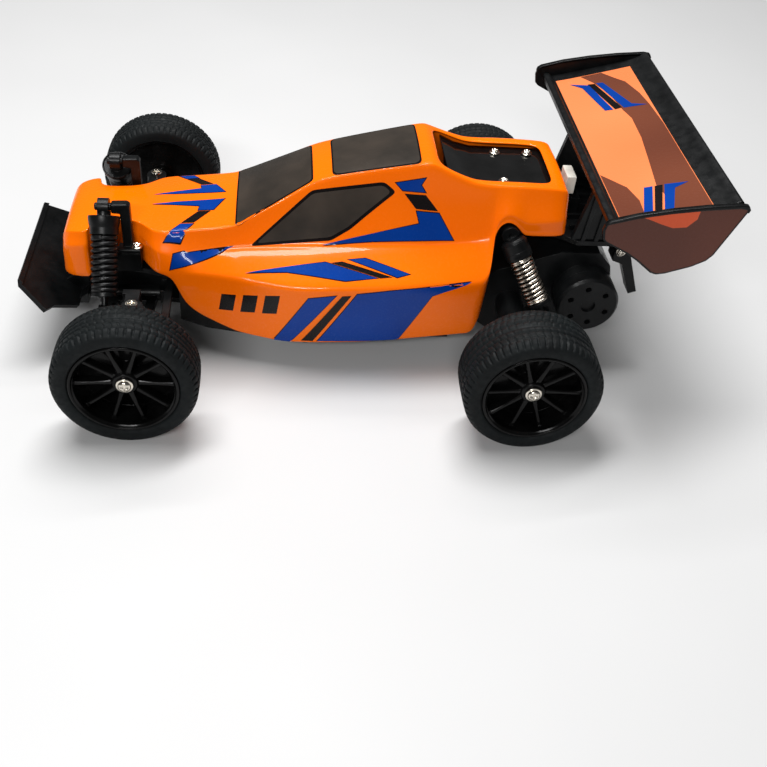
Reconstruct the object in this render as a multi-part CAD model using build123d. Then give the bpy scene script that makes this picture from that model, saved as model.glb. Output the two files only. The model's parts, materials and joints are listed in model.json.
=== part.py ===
"""A remote control off-road racing car: tub chassis, lift-off shell, sprung steering front end,
floating geared rear axle and a rear wing.

Every piece is its own solid. +X is forwards, +Y is the car's left, +Z is up, in millimetres.
Here x is measured from midway between the axles. Saving moves every piece by ORIGIN_X, which
puts the origin on the ground under the middle of the car's outline.
"""
from build123d import *
import math
import os

os.makedirs("parts", exist_ok=True)

# Driving dimensions of the whole car
WHEEL_RADIUS = 32.5
WHEELBASE = 183.4
BUMPER_TIP_X = 148.0
WING_TIP_X = -175.0
ORIGIN_X = (BUMPER_TIP_X + WING_TIP_X) / 2
FRONT_X = WHEELBASE / 2
REAR_X = -WHEELBASE / 2
AXLE_Z = WHEEL_RADIUS

# Wheels
FRONT_FACE_Y = 101.2
REAR_FACE_Y = 104.3
FRONT_TYRE_WIDTH = 22.0
REAR_TYRE_WIDTH = 27.0
RIM_RADIUS = 24.4
SPOKES = 10
FRONT_AXLE_RADIUS = 2.0
REAR_AXLE_RADIUS = 3.0
RUNNING = 0.05
HUB_RADIUS = 6.0
FACE_RECESS = 3.6

# Body shell
WALL = 1.3
NOSE_BACK_X = 114.2
SHELL_REAR_X = -114.0
POD_REAR_X = -78.0
BOX_BOTTOM_Z = 72.0

# Tub chassis
FLOOR_Z = 13.0
TUB_WALL = 2.0
TUB_REAR_X = -62.0
TUB_FRONT_X = 74.0
DOOR_X = (-46.0, 26.0)
DOOR_HALF = 17.0

# Front suspension and steering
ARM_PIVOT = (17.0, 24.0)
ARM_X = (84.0, 110.0)
KINGPIN_Y = 60.0
TIE_X = 78.0
TIE_Y = 57.0
SERVO_X = 64.0
PIN_RADIUS = 1.5
FRONT_SHOCK_TOP = (106.2, 21.5, 76.4)
FRONT_SHOCK_FOOT = (106.2, 50.0, 36.0)

# Rear drive
PIVOT_X = -70.0
PIVOT_Z = 30.0
MOTOR_X = -128.5
MOTOR_Z = 41.0
DRUM_RADIUS = 15.6
MODULE = 0.8
PINION_TEETH = 10
IDLER_BIG_TEETH = 36
IDLER_SMALL_TEETH = 12
AXLE_TEETH = 38
REAR_SHOCK_TOP = (-86.0, 30.0, 73.5)
REAR_SHOCK_FOOT = (-106.5, 48.0, 36.0)
SEAT_DROP = 9.5
CASE_SIDES = (-14.0, 30.0)
CASE_SPLIT = 3.0

# Wing
PLATE_Y = 76.5
PLATE_THICK = 2.0


# ---------------------------------------------------------------- shape helpers
def block(x0, x1, y0, y1, z0, z1):
    """A box between two corners."""
    middle = Pos((x0 + x1) / 2, (y0 + y1) / 2, (z0 + z1) / 2)
    return middle * Box(x1 - x0, y1 - y0, z1 - z0)


def rod(start, end, radius):
    """A round bar from start to end."""
    start, end = Vector(*start), Vector(*end)
    base = Plane(origin=start, z_dir=end - start)
    align = (Align.CENTER, Align.CENTER, Align.MIN)
    return base * Cylinder(radius, (end - start).length, align=align)


def outline(points):
    """A flat face with the given corners."""
    return make_face(Polyline(*points, close=True))


def side_plate(points, y0, y1):
    """An (x, z) outline, extruded from y0 to y1."""
    return extrude(Plane.XZ.offset(-y0) * outline(points), -(y1 - y0))


def flat_plate(points, z0, z1):
    """An (x, y) outline, extruded from z0 to z1."""
    return extrude(Plane.XY.offset(z0) * outline(points), z1 - z0)


def ruled(stations):
    """A solid with straight sides through closed outlines of (x, y, z) corners."""
    wires = [Wire.make_polygon([Vector(*p) for p in s], close=True) for s in stations]
    return loft([Face(w) for w in wires], ruled=True)


def mirrored(shape):
    """The same piece on the car's other side."""
    return mirror(shape, about=Plane.XZ)


def both_sides(shape):
    return shape + mirrored(shape)


def disc_ring(middle, y0, y1, outer, inner):
    """A ring about the Y direction, centred at (x, z)."""
    x, z = middle
    return rod((x, y0, z), (x, y1, z), outer) - rod((x, y0 - 1, z), (x, y1 + 1, z), inner)


def save(name, shape):
    export_step(Pos(-ORIGIN_X, 0, 0) * shape, f"parts/{name}.step")


def save_pair(name, shape):
    """Saves a left-hand piece and its mirror image."""
    save(name + "_left", shape)
    save(name + "_right", mirrored(shape))


# ---------------------------------------------------------------- body shell
# Half sections of the outer surface: x, then (y, z) of the top edge, the side's foot and the
# lower edge, from front to rear.
NOSE = [
    (127.5, (20.0, 60.5), (22.0, 50.0), (20.5, 43.0)),
    (124.5, (25.0, 63.5), (26.5, 52.0), (25.5, 40.0)),
    (NOSE_BACK_X, (26.5, 65.0), (28.0, 52.0), (27.5, 40.0)),
]
BODY = [
    (NOSE_BACK_X + 3, (15.0, 65.5), (15.5, 56.0), (15.5, 46.0)),
    (97.0, (15.5, 66.0), (16.2, 56.0), (16.5, 46.0)),
    (88.5, (18.5, 66.3), (19.5, 57.0), (20.0, 46.0)),
    (83.5, (26.0, 66.0), (31.5, 58.0), (33.0, 47.0)),
    (46.0, (25.7, 70.0), (29.5, 61.0), (32.0, 45.0)),
    (10.0, (18.2, 91.2), (29.5, 62.0), (32.0, 45.0)),
    (-1.0, (18.2, 94.6), (29.8, 63.0), (32.0, 45.0)),
    (-46.0, (20.5, 104.6), (30.5, 65.5), (32.0, 45.0)),
    (-54.0, (21.0, 101.5), (30.5, 66.5), (32.0, 45.0)),
    (-68.0, (23.5, 96.0), (30.5, 68.0), (32.0, 45.0)),
    (POD_REAR_X, (24.2, 95.6), (30.5, 70.0), (32.0, 45.0)),
]
BOX = [
    (POD_REAR_X + 1, (24.2, 95.6), (29.6, 78.0), (30.4, BOX_BOTTOM_Z)),
    (SHELL_REAR_X + 2, (24.6, 94.6), (29.6, 78.0), (30.4, BOX_BOTTOM_Z)),
    (SHELL_REAR_X, (22.6, 92.6), (27.6, 78.0), (28.4, BOX_BOTTOM_Z)),
]
# Left pod: x, then inner top, outer shoulder, lower outer edge.
POD = [
    (73.0, (27.0, 49.0), (33.0, 48.0), (32.0, 33.0)),
    (43.7, (28.0, 60.0), (41.5, 53.0), (39.5, 22.0)),
    (20.0, (28.0, 62.5), (49.3, 51.0), (45.8, 15.5)),
    (-24.0, (28.0, 63.5), (50.2, 53.0), (45.2, 16.0)),
    (POD_REAR_X, (28.0, 66.0), (46.0, 54.5), (38.5, 18.0)),
]
POD_INNER_Y = 20.0


def body_stations(rows, inset, drop):
    """Closed outlines of a central part of the shell, inset by a wall and lengthened down."""
    stations = []
    for x, top, side, low in rows:
        half = [(top[0] - inset, top[1] - inset), (side[0] - inset, side[1]),
                (low[0] - inset, low[1] - drop)]
        left = [(x, y, z) for y, z in half]
        right = [(x, -y, z) for y, z in reversed(half)]
        stations.append(left + right)
    return stations


def pod_stations(rows, inset, drop):
    stations = []
    for x, inner, shoulder, low in rows:
        base = low[1] - drop
        stations.append([
            (x, POD_INNER_Y, inner[1] - inset), (x, inner[0], inner[1] - inset),
            (x, shoulder[0] - inset, shoulder[1] - inset), (x, low[0] - inset, low[1]),
            (x, low[0] - inset, base), (x, POD_INNER_Y, base),
        ])
    return stations


def shortened(rows, front, rear):
    """The same rows with the first and last moved inwards along x."""
    first, last = rows[0], rows[-1]
    return [(first[0] - front, *first[1:])] + rows[1:-1] + [(last[0] + rear, *last[1:])]


def body_shell():
    """The thin lift-off shell: nose, hood, cockpit, side pods and the open rear deck box."""
    step = 0.02
    skin = ruled(body_stations(NOSE, 0, 0)) + ruled(body_stations(BODY, 0, 0))
    skin += ruled(body_stations(BOX, 0, 0))
    skin += both_sides(ruled(pod_stations(POD, 0, step)))
    hollow = ruled(body_stations(shortened(NOSE, WALL, WALL), WALL, 30))
    hollow += ruled(body_stations(shortened(BODY, -WALL, -WALL), WALL, 60))
    hollow += ruled(body_stations(shortened(BOX, -WALL, WALL), WALL, 30))
    hollow += both_sides(ruled(pod_stations(shortened(POD, WALL, WALL), WALL, 40)))
    shell = skin - hollow
    opening = flat_plate([(-50.0, -16.5), (-50.0, 16.5), (-68.0, 17.5), (-105.3, 17.0),
                          (-105.3, -17.0), (-68.0, -17.5)], 80.0, 110.0)
    shell -= opening
    shell -= block(POD_REAR_X - 1, POD_REAR_X + 2, -30.8, 30.8, 0, 64)
    shock_arch = rod((-84.5, 20, BOX_BOTTOM_Z - 1), (-84.5, 40, BOX_BOTTOM_Z - 1), 8.0)
    shock_arch += block(-92.5, POD_REAR_X - 1.0, 20, 40, 60, BOX_BOTTOM_Z - 1)
    return shell - both_sides(shock_arch)


# ---------------------------------------------------------------- chassis
TUB_OUTLINE = [(TUB_REAR_X, 35.0), (30.0, 37.0), (60.0, 31.0), (TUB_FRONT_X, 24.0)]


def tub_outline(inset):
    left = [(TUB_REAR_X + inset, 35.0 - inset)]
    left += [(x, y - inset) for x, y in TUB_OUTLINE[1:-1]]
    left += [(TUB_FRONT_X - inset, 24.0 - inset)]
    return left + [(x, -y) for x, y in reversed(left)]


def chassis_tub():
    """An open tray with a battery bay, a servo window in front and rails for the rear pivot."""
    tub = flat_plate(tub_outline(0), FLOOR_Z, 34.0)
    tub -= flat_plate(tub_outline(TUB_WALL), FLOOR_Z + TUB_WALL, 40.0)
    front_wall = flat_plate([(TUB_FRONT_X - 2, -27.0), (TUB_FRONT_X - 2, 27.0),
                             (TUB_FRONT_X, 26.0), (TUB_FRONT_X, -26.0)], 34.0, 41.0)
    tub += front_wall
    tub -= block(TUB_FRONT_X - 6, TUB_FRONT_X + 2, -11, 11, 33.0, 42.0)
    rail = side_plate([(TUB_REAR_X + 1, FLOOR_Z), (-66.0, 20.0), (-75.0, 26.0), (-75.0, 34.0),
                       (-66.0, 40.0), (TUB_REAR_X + 1, 40.0)], 21.0, 25.0)
    rail -= rod((PIVOT_X, 20, PIVOT_Z), (PIVOT_X, 26, PIVOT_Z), PIN_RADIUS)
    rear_wall = block(TUB_REAR_X, TUB_REAR_X + TUB_WALL, -34, 34, FLOOR_Z, 60.0)
    tub += both_sides(rail) + rear_wall
    tub -= block(DOOR_X[0], DOOR_X[1], -DOOR_HALF, DOOR_HALF, FLOOR_Z - 1, FLOOR_Z + 1)
    ledge = block(DOOR_X[0] + 3, DOOR_X[1] - 3, -DOOR_HALF + 3, DOOR_HALF - 3, FLOOR_Z, 20)
    tub -= ledge
    for x in (DOOR_X[0] - 1, DOOR_X[1] + 1):
        tub += block(x - 1, x + 1, -DOOR_HALF, DOOR_HALF, FLOOR_Z + TUB_WALL, 28.0)
    for x, y in ((40.0, 22.0), (-54.0, 24.0)):
        tub += both_sides(rod((x, y, FLOOR_Z + 1), (x, y, 36.0), 3.0))
    tub -= block(-58.0, -49.0, -3.0, 3.0, FLOOR_Z - 1, FLOOR_Z + 3)
    return tub


def battery_door():
    """The screwed cover under the battery bay, with finger grooves."""
    gap = 0.2
    door = block(DOOR_X[0] + gap, DOOR_X[1] - gap, -DOOR_HALF + gap, DOOR_HALF - gap,
                 FLOOR_Z - 0.6, FLOOR_Z + 1)
    for x in (-36.0, -33.0, -30.0):
        door -= block(x - 0.5, x + 0.5, -9, 9, FLOOR_Z - 1, FLOOR_Z)
    return door - rod((DOOR_X[1] - 8, 0, 10), (DOOR_X[1] - 8, 0, 16), 1.4)


def battery_pack():
    """Three round cells side by side, wrapped together."""
    cell_radius = 7.0
    pack = block(-38.0, 16.0, -10.0, 10.0, FLOOR_Z + 2.0, FLOOR_Z + 2.0 + 2 * cell_radius)
    for y in (-10.0, 10.0):
        pack += rod((-38.0, y - 0.0, FLOOR_Z + 2.0 + cell_radius),
                    (16.0, y, FLOOR_Z + 2.0 + cell_radius), cell_radius)
    return pack & block(-38.0, 16.0, -16.8, 16.8, FLOOR_Z + 2.0, 40.0)


def circuit_board():
    """The receiver and motor driver board on the four posts, with its main parts."""
    board = block(-57.0, 43.0, -26.0, 26.0, 36.0, 37.6)
    board += block(-20.0, -6.0, -8.0, 8.0, 37.6, 41.0)
    board += block(8.0, 16.0, 8.0, 16.0, 37.6, 43.0)
    board += rod((-38.0, 10.0, 37.6), (-38.0, 10.0, 48.0), 4.0)
    return board


def steering_servo():
    """The steering motor box with its upright output shaft."""
    servo = block(46.0, 68.0, -10.0, 10.0, FLOOR_Z + TUB_WALL, 35.6)
    return servo + rod((SERVO_X, 0, 35.6), (SERVO_X, 0, 40.6), 2.0)


def servo_arm():
    """The swinging lever on the servo, with a drop pin that pushes the tie rod."""
    arm = rod((SERVO_X, 0, 37.8), (SERVO_X, 0, 40.6), 4.0)
    arm += block(SERVO_X, TIE_X, -1.8, 1.8, 37.8, 40.6)
    arm += rod((TIE_X, 0, 34.2), (TIE_X, 0, 40.6), 1.2) + rod((TIE_X, 0, 37.8), (TIE_X, 0, 40.6), 2.6)
    return arm - rod((SERVO_X, 0, 30), (SERVO_X, 0, 50), 2.0 + RUNNING)


def tie_rod():
    """The cross bar between the knuckles: drop pins at the ends and a slot for the servo."""
    bar = block(TIE_X - 1.8, TIE_X + 1.8, -TIE_Y - 2, TIE_Y + 2, 34.6, 37.0)
    bar += block(TIE_X - 4.6, TIE_X + 4.6, -4.5, 4.5, 34.6, 37.0)
    bar += both_sides(rod((TIE_X, TIE_Y, 20.0), (TIE_X, TIE_Y, 35.0), 1.2))
    slot = block(TIE_X - 3.4, TIE_X + 3.4, -1.8, 1.8, 30.0, 40.0)
    return bar - slot


def front_bulkhead():
    """The front frame: ribbed deck, centre block, hinge cross plates and the shock posts' feet."""
    deck = flat_plate([(TUB_FRONT_X, -30.0), (TUB_FRONT_X, 30.0), (90.0, 25.0), (113.9, 19.0),
                       (113.9, -19.0), (90.0, -25.0)], 41.6, 44.2)
    for y_front, y_rear in ((21.0, 28.0), (18.0, 19.0)):
        for side in (-1, 1):
            rib = flat_plate([(TUB_FRONT_X, side * (y_rear - 0.7)), (TUB_FRONT_X, side * (y_rear + 0.7)),
                              (90.0, side * (y_front + 0.7)), (90.0, side * (y_front - 0.7))], 44.0, 45.2)
            deck += rib
    frame = deck + block(88.0, 116.0, -11.5, 11.5, 18.0, 41.6)
    for x in (82.2, 112.0):
        frame += block(x - 1.6, x + 1.6, -21.0, 21.0, 20.5, 28.0)
        frame += block(x - 1.6, x + 1.6, -11.5, 11.5, 20.5, 42.0)
    frame += block(80.6, 90.0, -11.5, 11.5, 18.0, 33.0)
    frame -= block(TIE_X - 8, TIE_X + 5.4, -11.6, 11.6, 33.3, 37.7)
    frame += both_sides(block(90.5, 113.0, 20.6, 27.0, 44.0, 54.0))
    frame += block(92.0, 112.0, -14.0, 14.0, 44.0, 60.0)
    for y in (-ARM_PIVOT[0], ARM_PIVOT[0]):
        frame -= rod((78, y, ARM_PIVOT[1]), (116, y, ARM_PIVOT[1]), PIN_RADIUS)
    frame += flat_plate([(114.0, -17.5), (114.0, 17.5), (119.0, 14.0), (119.0, -14.0)], 20.0, 40.0)
    skid = side_plate([(TUB_FRONT_X - 6, FLOOR_Z), (TUB_FRONT_X - 6, 15.2), (88.0, 19.0), (116.0, 22.0),
                       (116.0, 19.5), (88.0, 16.0)], -12.0, 12.0)
    return frame + skid - flat_plate(tub_outline(0), 0, 41.6)


def front_tower():
    """One L-shaped post that holds the top of a front shock."""
    x, y, z = FRONT_SHOCK_TOP
    post = block(94.9, 98.5, y - 1.8, y + 1.8, 54.0, z + 1.8)
    post += block(94.9, x - 3.5, y - 1.8, y + 1.8, z - 1.8, z + 1.8)
    post += block(90.6, 101.0, 20.6, 26.4, 54.0, 56.0)
    post += side_plate([(98.5, 56.0), (101.0, 56.0), (98.5, 60.0)], y - 1.0, y + 1.0)
    return post + rod((x - 4.0, y, z), (x + 4.6, y, z), 1.8)


def bumper():
    """The raked scoop that carries the front edge, with cut corners and a neck to the frame."""
    tip = (BUMPER_TIP_X, 42.6)
    base = (123.0, 22.0)
    rake = math.atan2(tip[1] - base[1], tip[0] - base[0])
    length = math.hypot(tip[0] - base[0], tip[1] - base[1])
    face = Plane(origin=(base[0], 0, base[1]), x_dir=(math.cos(rake), 0, math.sin(rake)),
                 z_dir=(-math.sin(rake), 0, math.cos(rake)))
    half = [(length, 34.5), (length * 0.47, 43.0), (length * 0.36, 36.0), (0.0, 26.0)]
    corners = half + [(u, -v) for u, v in reversed(half)]
    scoop = extrude(face * outline(corners), -2.4)
    lip = [(length, 34.5), (length - 2.5, 36.2), (length - 2.5, -36.2), (length, -34.5)]
    scoop += extrude(face * outline(lip), 1.0)
    neck = side_plate([(110.0, 20.0), (base[0] + 1, 19.8), (base[0] + 1, 22.2), (119.0, 26.0),
                       (119.2, 24.0), (110.0, 24.0)], -21.0, 21.0)
    neck -= block(90.0, 119.2, -30.0, 30.0, 19.0, 45.0)
    for y in (-12.0, 0.0, 12.0):
        neck += side_plate([(119.2, 22.0), (126.0, 22.0), (131.0, 27.5), (119.2, 36.0)], y - 1, y + 1)
    bumper_shape = scoop + neck
    return bumper_shape - block(BUMPER_TIP_X, 160.0, -60, 60, 0, 80)


# ---------------------------------------------------------------- front suspension
def front_arm():
    """The left lower arm: hinge barrel, webbed plate, shock lug and the kingpin's clevis."""
    y0, z0 = ARM_PIVOT
    arm = rod((ARM_X[0], y0, z0), (ARM_X[1], y0, z0), 4.0)
    plate = [(ARM_X[0] + 1, y0 + 1), (ARM_X[1], y0 + 1), (ARM_X[1] - 1, 52.0), (97.0, 53.5), (88.5, 53.5)]
    window = [(90.0, 25.0), (104.0, 25.0), (102.0, 42.0), (92.0, 42.0)]
    arm += flat_plate(plate, 21.5, 25.0) - flat_plate(window, 20, 27)
    arm += block(89.0, 97.0, 46.8, 50.2, 18.0, 47.5)
    for low, high in ((18.0, 23.0), (43.0, 47.5)):
        ear = rod((FRONT_X, KINGPIN_Y, low), (FRONT_X, KINGPIN_Y, high), 5.2)
        arm += ear + block(89.0, 95.5, 50.0, KINGPIN_Y, low, high)
        arm -= rod((FRONT_X, KINGPIN_Y, low - 1), (FRONT_X, KINGPIN_Y, high + 1), PIN_RADIUS)
    x, y, z = FRONT_SHOCK_FOOT
    arm += block(x - 6.4, x - 3.4, y - 3.6, y + 1.5, 22.0, z + 3.2)
    arm += rod((x - 6.0, y, z), (x + 3.4, y, z), PIN_RADIUS)
    bore = rod((ARM_X[0] - 1, y0, z0), (ARM_X[1] + 1, y0, z0), PIN_RADIUS + RUNNING)
    return arm - bore


def kingpin():
    """The upright steering pin with its screw head."""
    pin = rod((FRONT_X, KINGPIN_Y, 17.0), (FRONT_X, KINGPIN_Y, 48.5), PIN_RADIUS)
    head = rod((FRONT_X, KINGPIN_Y, 47.5), (FRONT_X, KINGPIN_Y, 49.4), 2.8)
    return pin + head - cross_cut((FRONT_X, KINGPIN_Y, 49.5), (0, 0, 1), 3.4)


def knuckle():
    """The left steering knuckle: upright barrel, stub axle and a slotted steering lever."""
    body = rod((FRONT_X, KINGPIN_Y, 23.4), (FRONT_X, KINGPIN_Y, 42.6), 5.0)
    body += rod((FRONT_X, KINGPIN_Y, AXLE_Z), (FRONT_X, 75.0, AXLE_Z), 5.5)
    body += rod((FRONT_X, 74.0, AXLE_Z), (FRONT_X, FRONT_FACE_Y - FACE_RECESS - 3, AXLE_Z), FRONT_AXLE_RADIUS)
    body += block(TIE_X - 7.0, FRONT_X, TIE_Y - 4.2, TIE_Y + 4.2, 25.5, 29.0)
    body -= block(TIE_X - 4.6, TIE_X + 2.2, TIE_Y - 2.5, TIE_Y + 2.5, 20.0, 32.0)
    body -= block(FRONT_X - 5.5, FRONT_X + 6, KINGPIN_Y - 8, KINGPIN_Y - 5.0, 20, 45)
    return body - rod((FRONT_X, KINGPIN_Y, 10), (FRONT_X, KINGPIN_Y, 60), PIN_RADIUS + RUNNING)


# ---------------------------------------------------------------- wheels
def cross_cut(point, direction, size):
    """A shallow cross recess for a screwdriver, sunk from a point against a direction."""
    place = Plane(origin=point, z_dir=direction)
    bars = Box(size, 0.8, 1.6) + Box(0.8, size, 1.6)
    return place * bars


def tyre(x, face_y, width):
    """A road tyre with a crowned tread, rounded shoulders and three grooves."""
    inner = face_y - width
    bead, crown = RIM_RADIUS, WHEEL_RADIUS
    profile = [
        (face_y, bead), (face_y + 0.5, bead + 1.5), (face_y + 0.3, bead + 4.5), (face_y - 1.6, crown - 0.9),
        (face_y - 4.0, crown - 0.15), (face_y - width / 2, crown), (inner + 4.0, crown - 0.15),
        (inner + 1.6, crown - 0.9), (inner - 0.3, bead + 4.5), (inner, bead),
    ]
    ring = revolve(Plane.YZ * outline(profile), Axis.Y)
    for step in (-1, 0, 1):
        middle = face_y - width / 2 + step * width / 4.6
        ring -= disc_ring((0, 0), middle - 0.55, middle + 0.55, crown + 1, crown - 1.0)
    return Pos(x, 0, AXLE_Z) * ring


def rim(x, face_y, width, bore):
    """A dished ten-spoke rim with a long hub on the axle."""
    inner = face_y - width
    barrel = disc_ring((0, 0), inner + 1.0, face_y, RIM_RADIUS, RIM_RADIUS - 1.6)
    barrel += disc_ring((0, 0), face_y - 1.2, face_y + 0.3, RIM_RADIUS, RIM_RADIUS - 2.6)
    hub_face = face_y - FACE_RECESS
    hub = rod((0, hub_face - 16, 0), (0, hub_face, 0), HUB_RADIUS)
    back = disc_ring((0, 0), hub_face - 12.5, hub_face - 11.0, RIM_RADIUS - 1.0, HUB_RADIUS - 1)
    wheel = barrel + hub + back
    for number in range(SPOKES):
        angle = 360 / SPOKES * number
        spoke = side_plate([(HUB_RADIUS - 1.5, -1.1), (RIM_RADIUS - 1.0, -0.8), (RIM_RADIUS - 1.0, 0.8),
                            (HUB_RADIUS - 1.5, 1.1)], hub_face - 4.5, hub_face - 0.6)
        wheel += Rot(0, angle, 0) * spoke
    wheel -= rod((0, inner, 0), (0, hub_face - 2.0, 0), bore)
    wheel -= rod((0, hub_face - 3.0, 0), (0, hub_face + 1, 0), 1.4)
    return Pos(x, 0, AXLE_Z) * wheel


def wheel_screw(x, face_y):
    """A washer and a round screw head in the middle of the rim, on a short shank."""
    hub_face = face_y - FACE_RECESS
    screw = rod((x, hub_face, AXLE_Z), (x, hub_face + 0.7, AXLE_Z), 3.6)
    screw += rod((x, hub_face + 0.7, AXLE_Z), (x, hub_face + 2.2, AXLE_Z), 2.8)
    screw += rod((x, hub_face - 2.0, AXLE_Z), (x, hub_face + 0.5, AXLE_Z), 1.4)
    return screw - cross_cut((x, hub_face + 2.3, AXLE_Z), (0, 1, 0), 3.4)


# ---------------------------------------------------------------- shock absorbers
def shock_line(top, foot):
    """The unit direction from a shock's top pivot to its foot, and the length between them."""
    line = Vector(*foot) - Vector(*top)
    return line.normalized(), line.length


def along(top, direction, distance):
    point = Vector(*top) + direction * distance
    return (point.X, point.Y, point.Z)


def shock_body(top, foot, eye_bore, ball):
    """Cap, collar and oil cylinder: hangs from the top pivot, with a bore for the rod."""
    direction, length = shock_line(top, foot)
    x, y, z = top
    if ball:
        eye = rod((x, y - 2.4, z), (x, y + 2.4, z), 4.2)
        hole = Pos(x, y, z) * Sphere(eye_bore) + rod((x, y - 4, z), (x, y + 1, z), 1.9)
    else:
        eye = rod((x - 2.4, y, z), (x + 2.6, y, z), 4.0)
        hole = rod((x - 4, y, z), (x + 4, y, z), eye_bore)
    body = eye + rod(along(top, direction, 2.0), along(top, direction, 6.0), 3.2)
    body += rod(along(top, direction, 5.0), along(top, direction, 13.0), 6.6)
    body += rod(along(top, direction, 13.0), along(top, direction, 0.66 * length), 3.4)
    body -= rod(along(top, direction, 15.0), along(top, direction, 0.7 * length), 1.5 + RUNNING)
    return body - hole


def shock_rod(top, foot, pin_axis):
    """The piston rod with its spring seat and the foot eye, which has room round its pin."""
    direction, length = shock_line(top, foot)
    x, y, z = foot
    half = 2.5
    if pin_axis == "x":
        eye = rod((x - half, y, z), (x + half, y, z), 3.8)
        hole = rod((x - 4, y, z), (x + 4, y, z), PIN_RADIUS + 0.7)
    else:
        eye = rod((x, y - half, z), (x, y + half, z), 3.8)
        hole = rod((x, y - 4, z), (x, y + 4, z), PIN_RADIUS + 0.7)
    piston = rod(along(top, direction, 0.5 * length), along(top, direction, length - 2.6), 1.5)
    seat = rod(along(top, direction, length - SEAT_DROP), along(top, direction, length - SEAT_DROP + 1.8), 6.0)
    return piston + seat + eye - hole


def shock_spring(top, foot, wire, turns):
    """The coil spring between the collar and the seat."""
    direction, length = shock_line(top, foot)
    start = 13.0 + wire + 0.05
    height = (length - SEAT_DROP) - start - wire - 0.05
    coil_radius = 5.0
    helix = Helix(pitch=height / turns, height=height, radius=coil_radius)
    ring = Plane(origin=helix @ 0, z_dir=helix % 0) * Circle(wire)
    coil = sweep(ring, path=helix)
    return Plane(origin=along(top, direction, start), z_dir=direction) * coil


# ---------------------------------------------------------------- rear drive
def gear(teeth, thickness, tooth_angle):
    """A spur gear about the local Z axis with one tooth at the given angle, in degrees."""
    pitch_radius = MODULE * teeth / 2
    tip, root = pitch_radius + 0.8 * MODULE, pitch_radius - 1.1 * MODULE
    pitch = 2 * math.pi / teeth
    corners = []
    for number in range(teeth):
        middle = math.radians(tooth_angle) + number * pitch
        for radius, part in ((root, -0.30), (tip, -0.11), (tip, 0.11), (root, 0.30)):
            angle = middle + part * pitch
            corners.append((radius * math.cos(angle), radius * math.sin(angle)))
    return extrude(outline(corners), thickness)


def idler_place():
    """Where the idler meshes with both the motor pinion and the axle gear."""
    motor_reach = MODULE * (PINION_TEETH + IDLER_BIG_TEETH) / 2
    axle_reach = MODULE * (IDLER_SMALL_TEETH + AXLE_TEETH) / 2
    dx, dz = REAR_X - MOTOR_X, AXLE_Z - MOTOR_Z
    distance = math.hypot(dx, dz)
    near = (motor_reach ** 2 - axle_reach ** 2 + distance ** 2) / (2 * distance)
    rise = math.sqrt(motor_reach ** 2 - near ** 2)
    return (MOTOR_X + (near * dx - rise * dz) / distance, MOTOR_Z + (near * dz + rise * dx) / distance)


IDLER = idler_place()
STAGE_ONE_Y = -5.0
STAGE_TWO_Y = 1.5
GEAR_WIDTH = 4.0


def bearing_angle(start, end):
    return math.degrees(math.atan2(end[1] - start[1], end[0] - start[0]))


def gear_at(middle, y, teeth, tooth_angle):
    """A gear about Y at (x, z), from y downwards by the gear width."""
    place = Plane(origin=(middle[0], y, middle[1]), x_dir=(1, 0, 0), z_dir=(0, -1, 0))
    return place * gear(teeth, GEAR_WIDTH, tooth_angle)


def motor_pinion():
    middle = (MOTOR_X, MOTOR_Z)
    wheel = gear_at(middle, STAGE_ONE_Y, PINION_TEETH, bearing_angle(middle, IDLER))
    bore = rod((MOTOR_X, -20, MOTOR_Z), (MOTOR_X, 0, MOTOR_Z), 1.0 + RUNNING)
    return wheel - bore


def idler_gear():
    """The two-step gear between the pinion and the axle gear, on its own bore."""
    x, z = IDLER
    motor, axle = (MOTOR_X, MOTOR_Z), (REAR_X, AXLE_Z)
    big = gear_at(IDLER, STAGE_ONE_Y, IDLER_BIG_TEETH, bearing_angle(IDLER, motor) + 180 / IDLER_BIG_TEETH)
    small = gear_at(IDLER, STAGE_TWO_Y, IDLER_SMALL_TEETH, bearing_angle(IDLER, axle))
    neck = rod((x, STAGE_ONE_Y - 0.5, z), (x, STAGE_TWO_Y - GEAR_WIDTH + 0.5, z), 3.4)
    return big + small + neck - rod((x, -20, z), (x, 10, z), PIN_RADIUS + RUNNING)


def axle_gear():
    axle = (REAR_X, AXLE_Z)
    wheel = gear_at(axle, STAGE_TWO_Y, AXLE_TEETH, bearing_angle(axle, IDLER) + 180 / AXLE_TEETH)
    wheel -= rod((REAR_X, -20, AXLE_Z), (REAR_X, 20, AXLE_Z), REAR_AXLE_RADIUS)
    for number in range(6):
        angle = math.radians(60 * number)
        x, z = REAR_X + 9.2 * math.cos(angle), AXLE_Z + 9.2 * math.sin(angle)
        wheel -= rod((x, -20, z), (x, 20, z), 2.4)
    return wheel


def rear_axle():
    """The steel shaft that carries the axle gear and both rear wheels."""
    end = REAR_FACE_Y - FACE_RECESS - 2.0
    return rod((REAR_X, -end, AXLE_Z), (REAR_X, end, AXLE_Z), REAR_AXLE_RADIUS)


CASE_OUTLINE = [(-77.0, 20.0), (-84.0, 14.2), (-100.0, 14.2), (-122.0, 22.0), (-138.0, 30.0),
                (-143.5, 41.0), (-140.0, 56.0), (-133.5, 63.0), (-114.0, 63.0), (-84.0, 52.0),
                (-76.5, 47.0), (-73.4, 41.0), (-73.4, 25.0)]
COVER_FRONT_X = -76.5
GEAR_ROOM = 0.6


def inset_outline(points, inset):
    """The outline moved inwards by about inset, towards its middle."""
    middle = (sum(p[0] for p in points) / len(points), sum(p[1] for p in points) / len(points))
    moved = []
    for x, z in points:
        reach = math.hypot(x - middle[0], z - middle[1])
        moved.append((x + (middle[0] - x) * inset / reach, z + (middle[1] - z) * inset / reach))
    return moved


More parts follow.
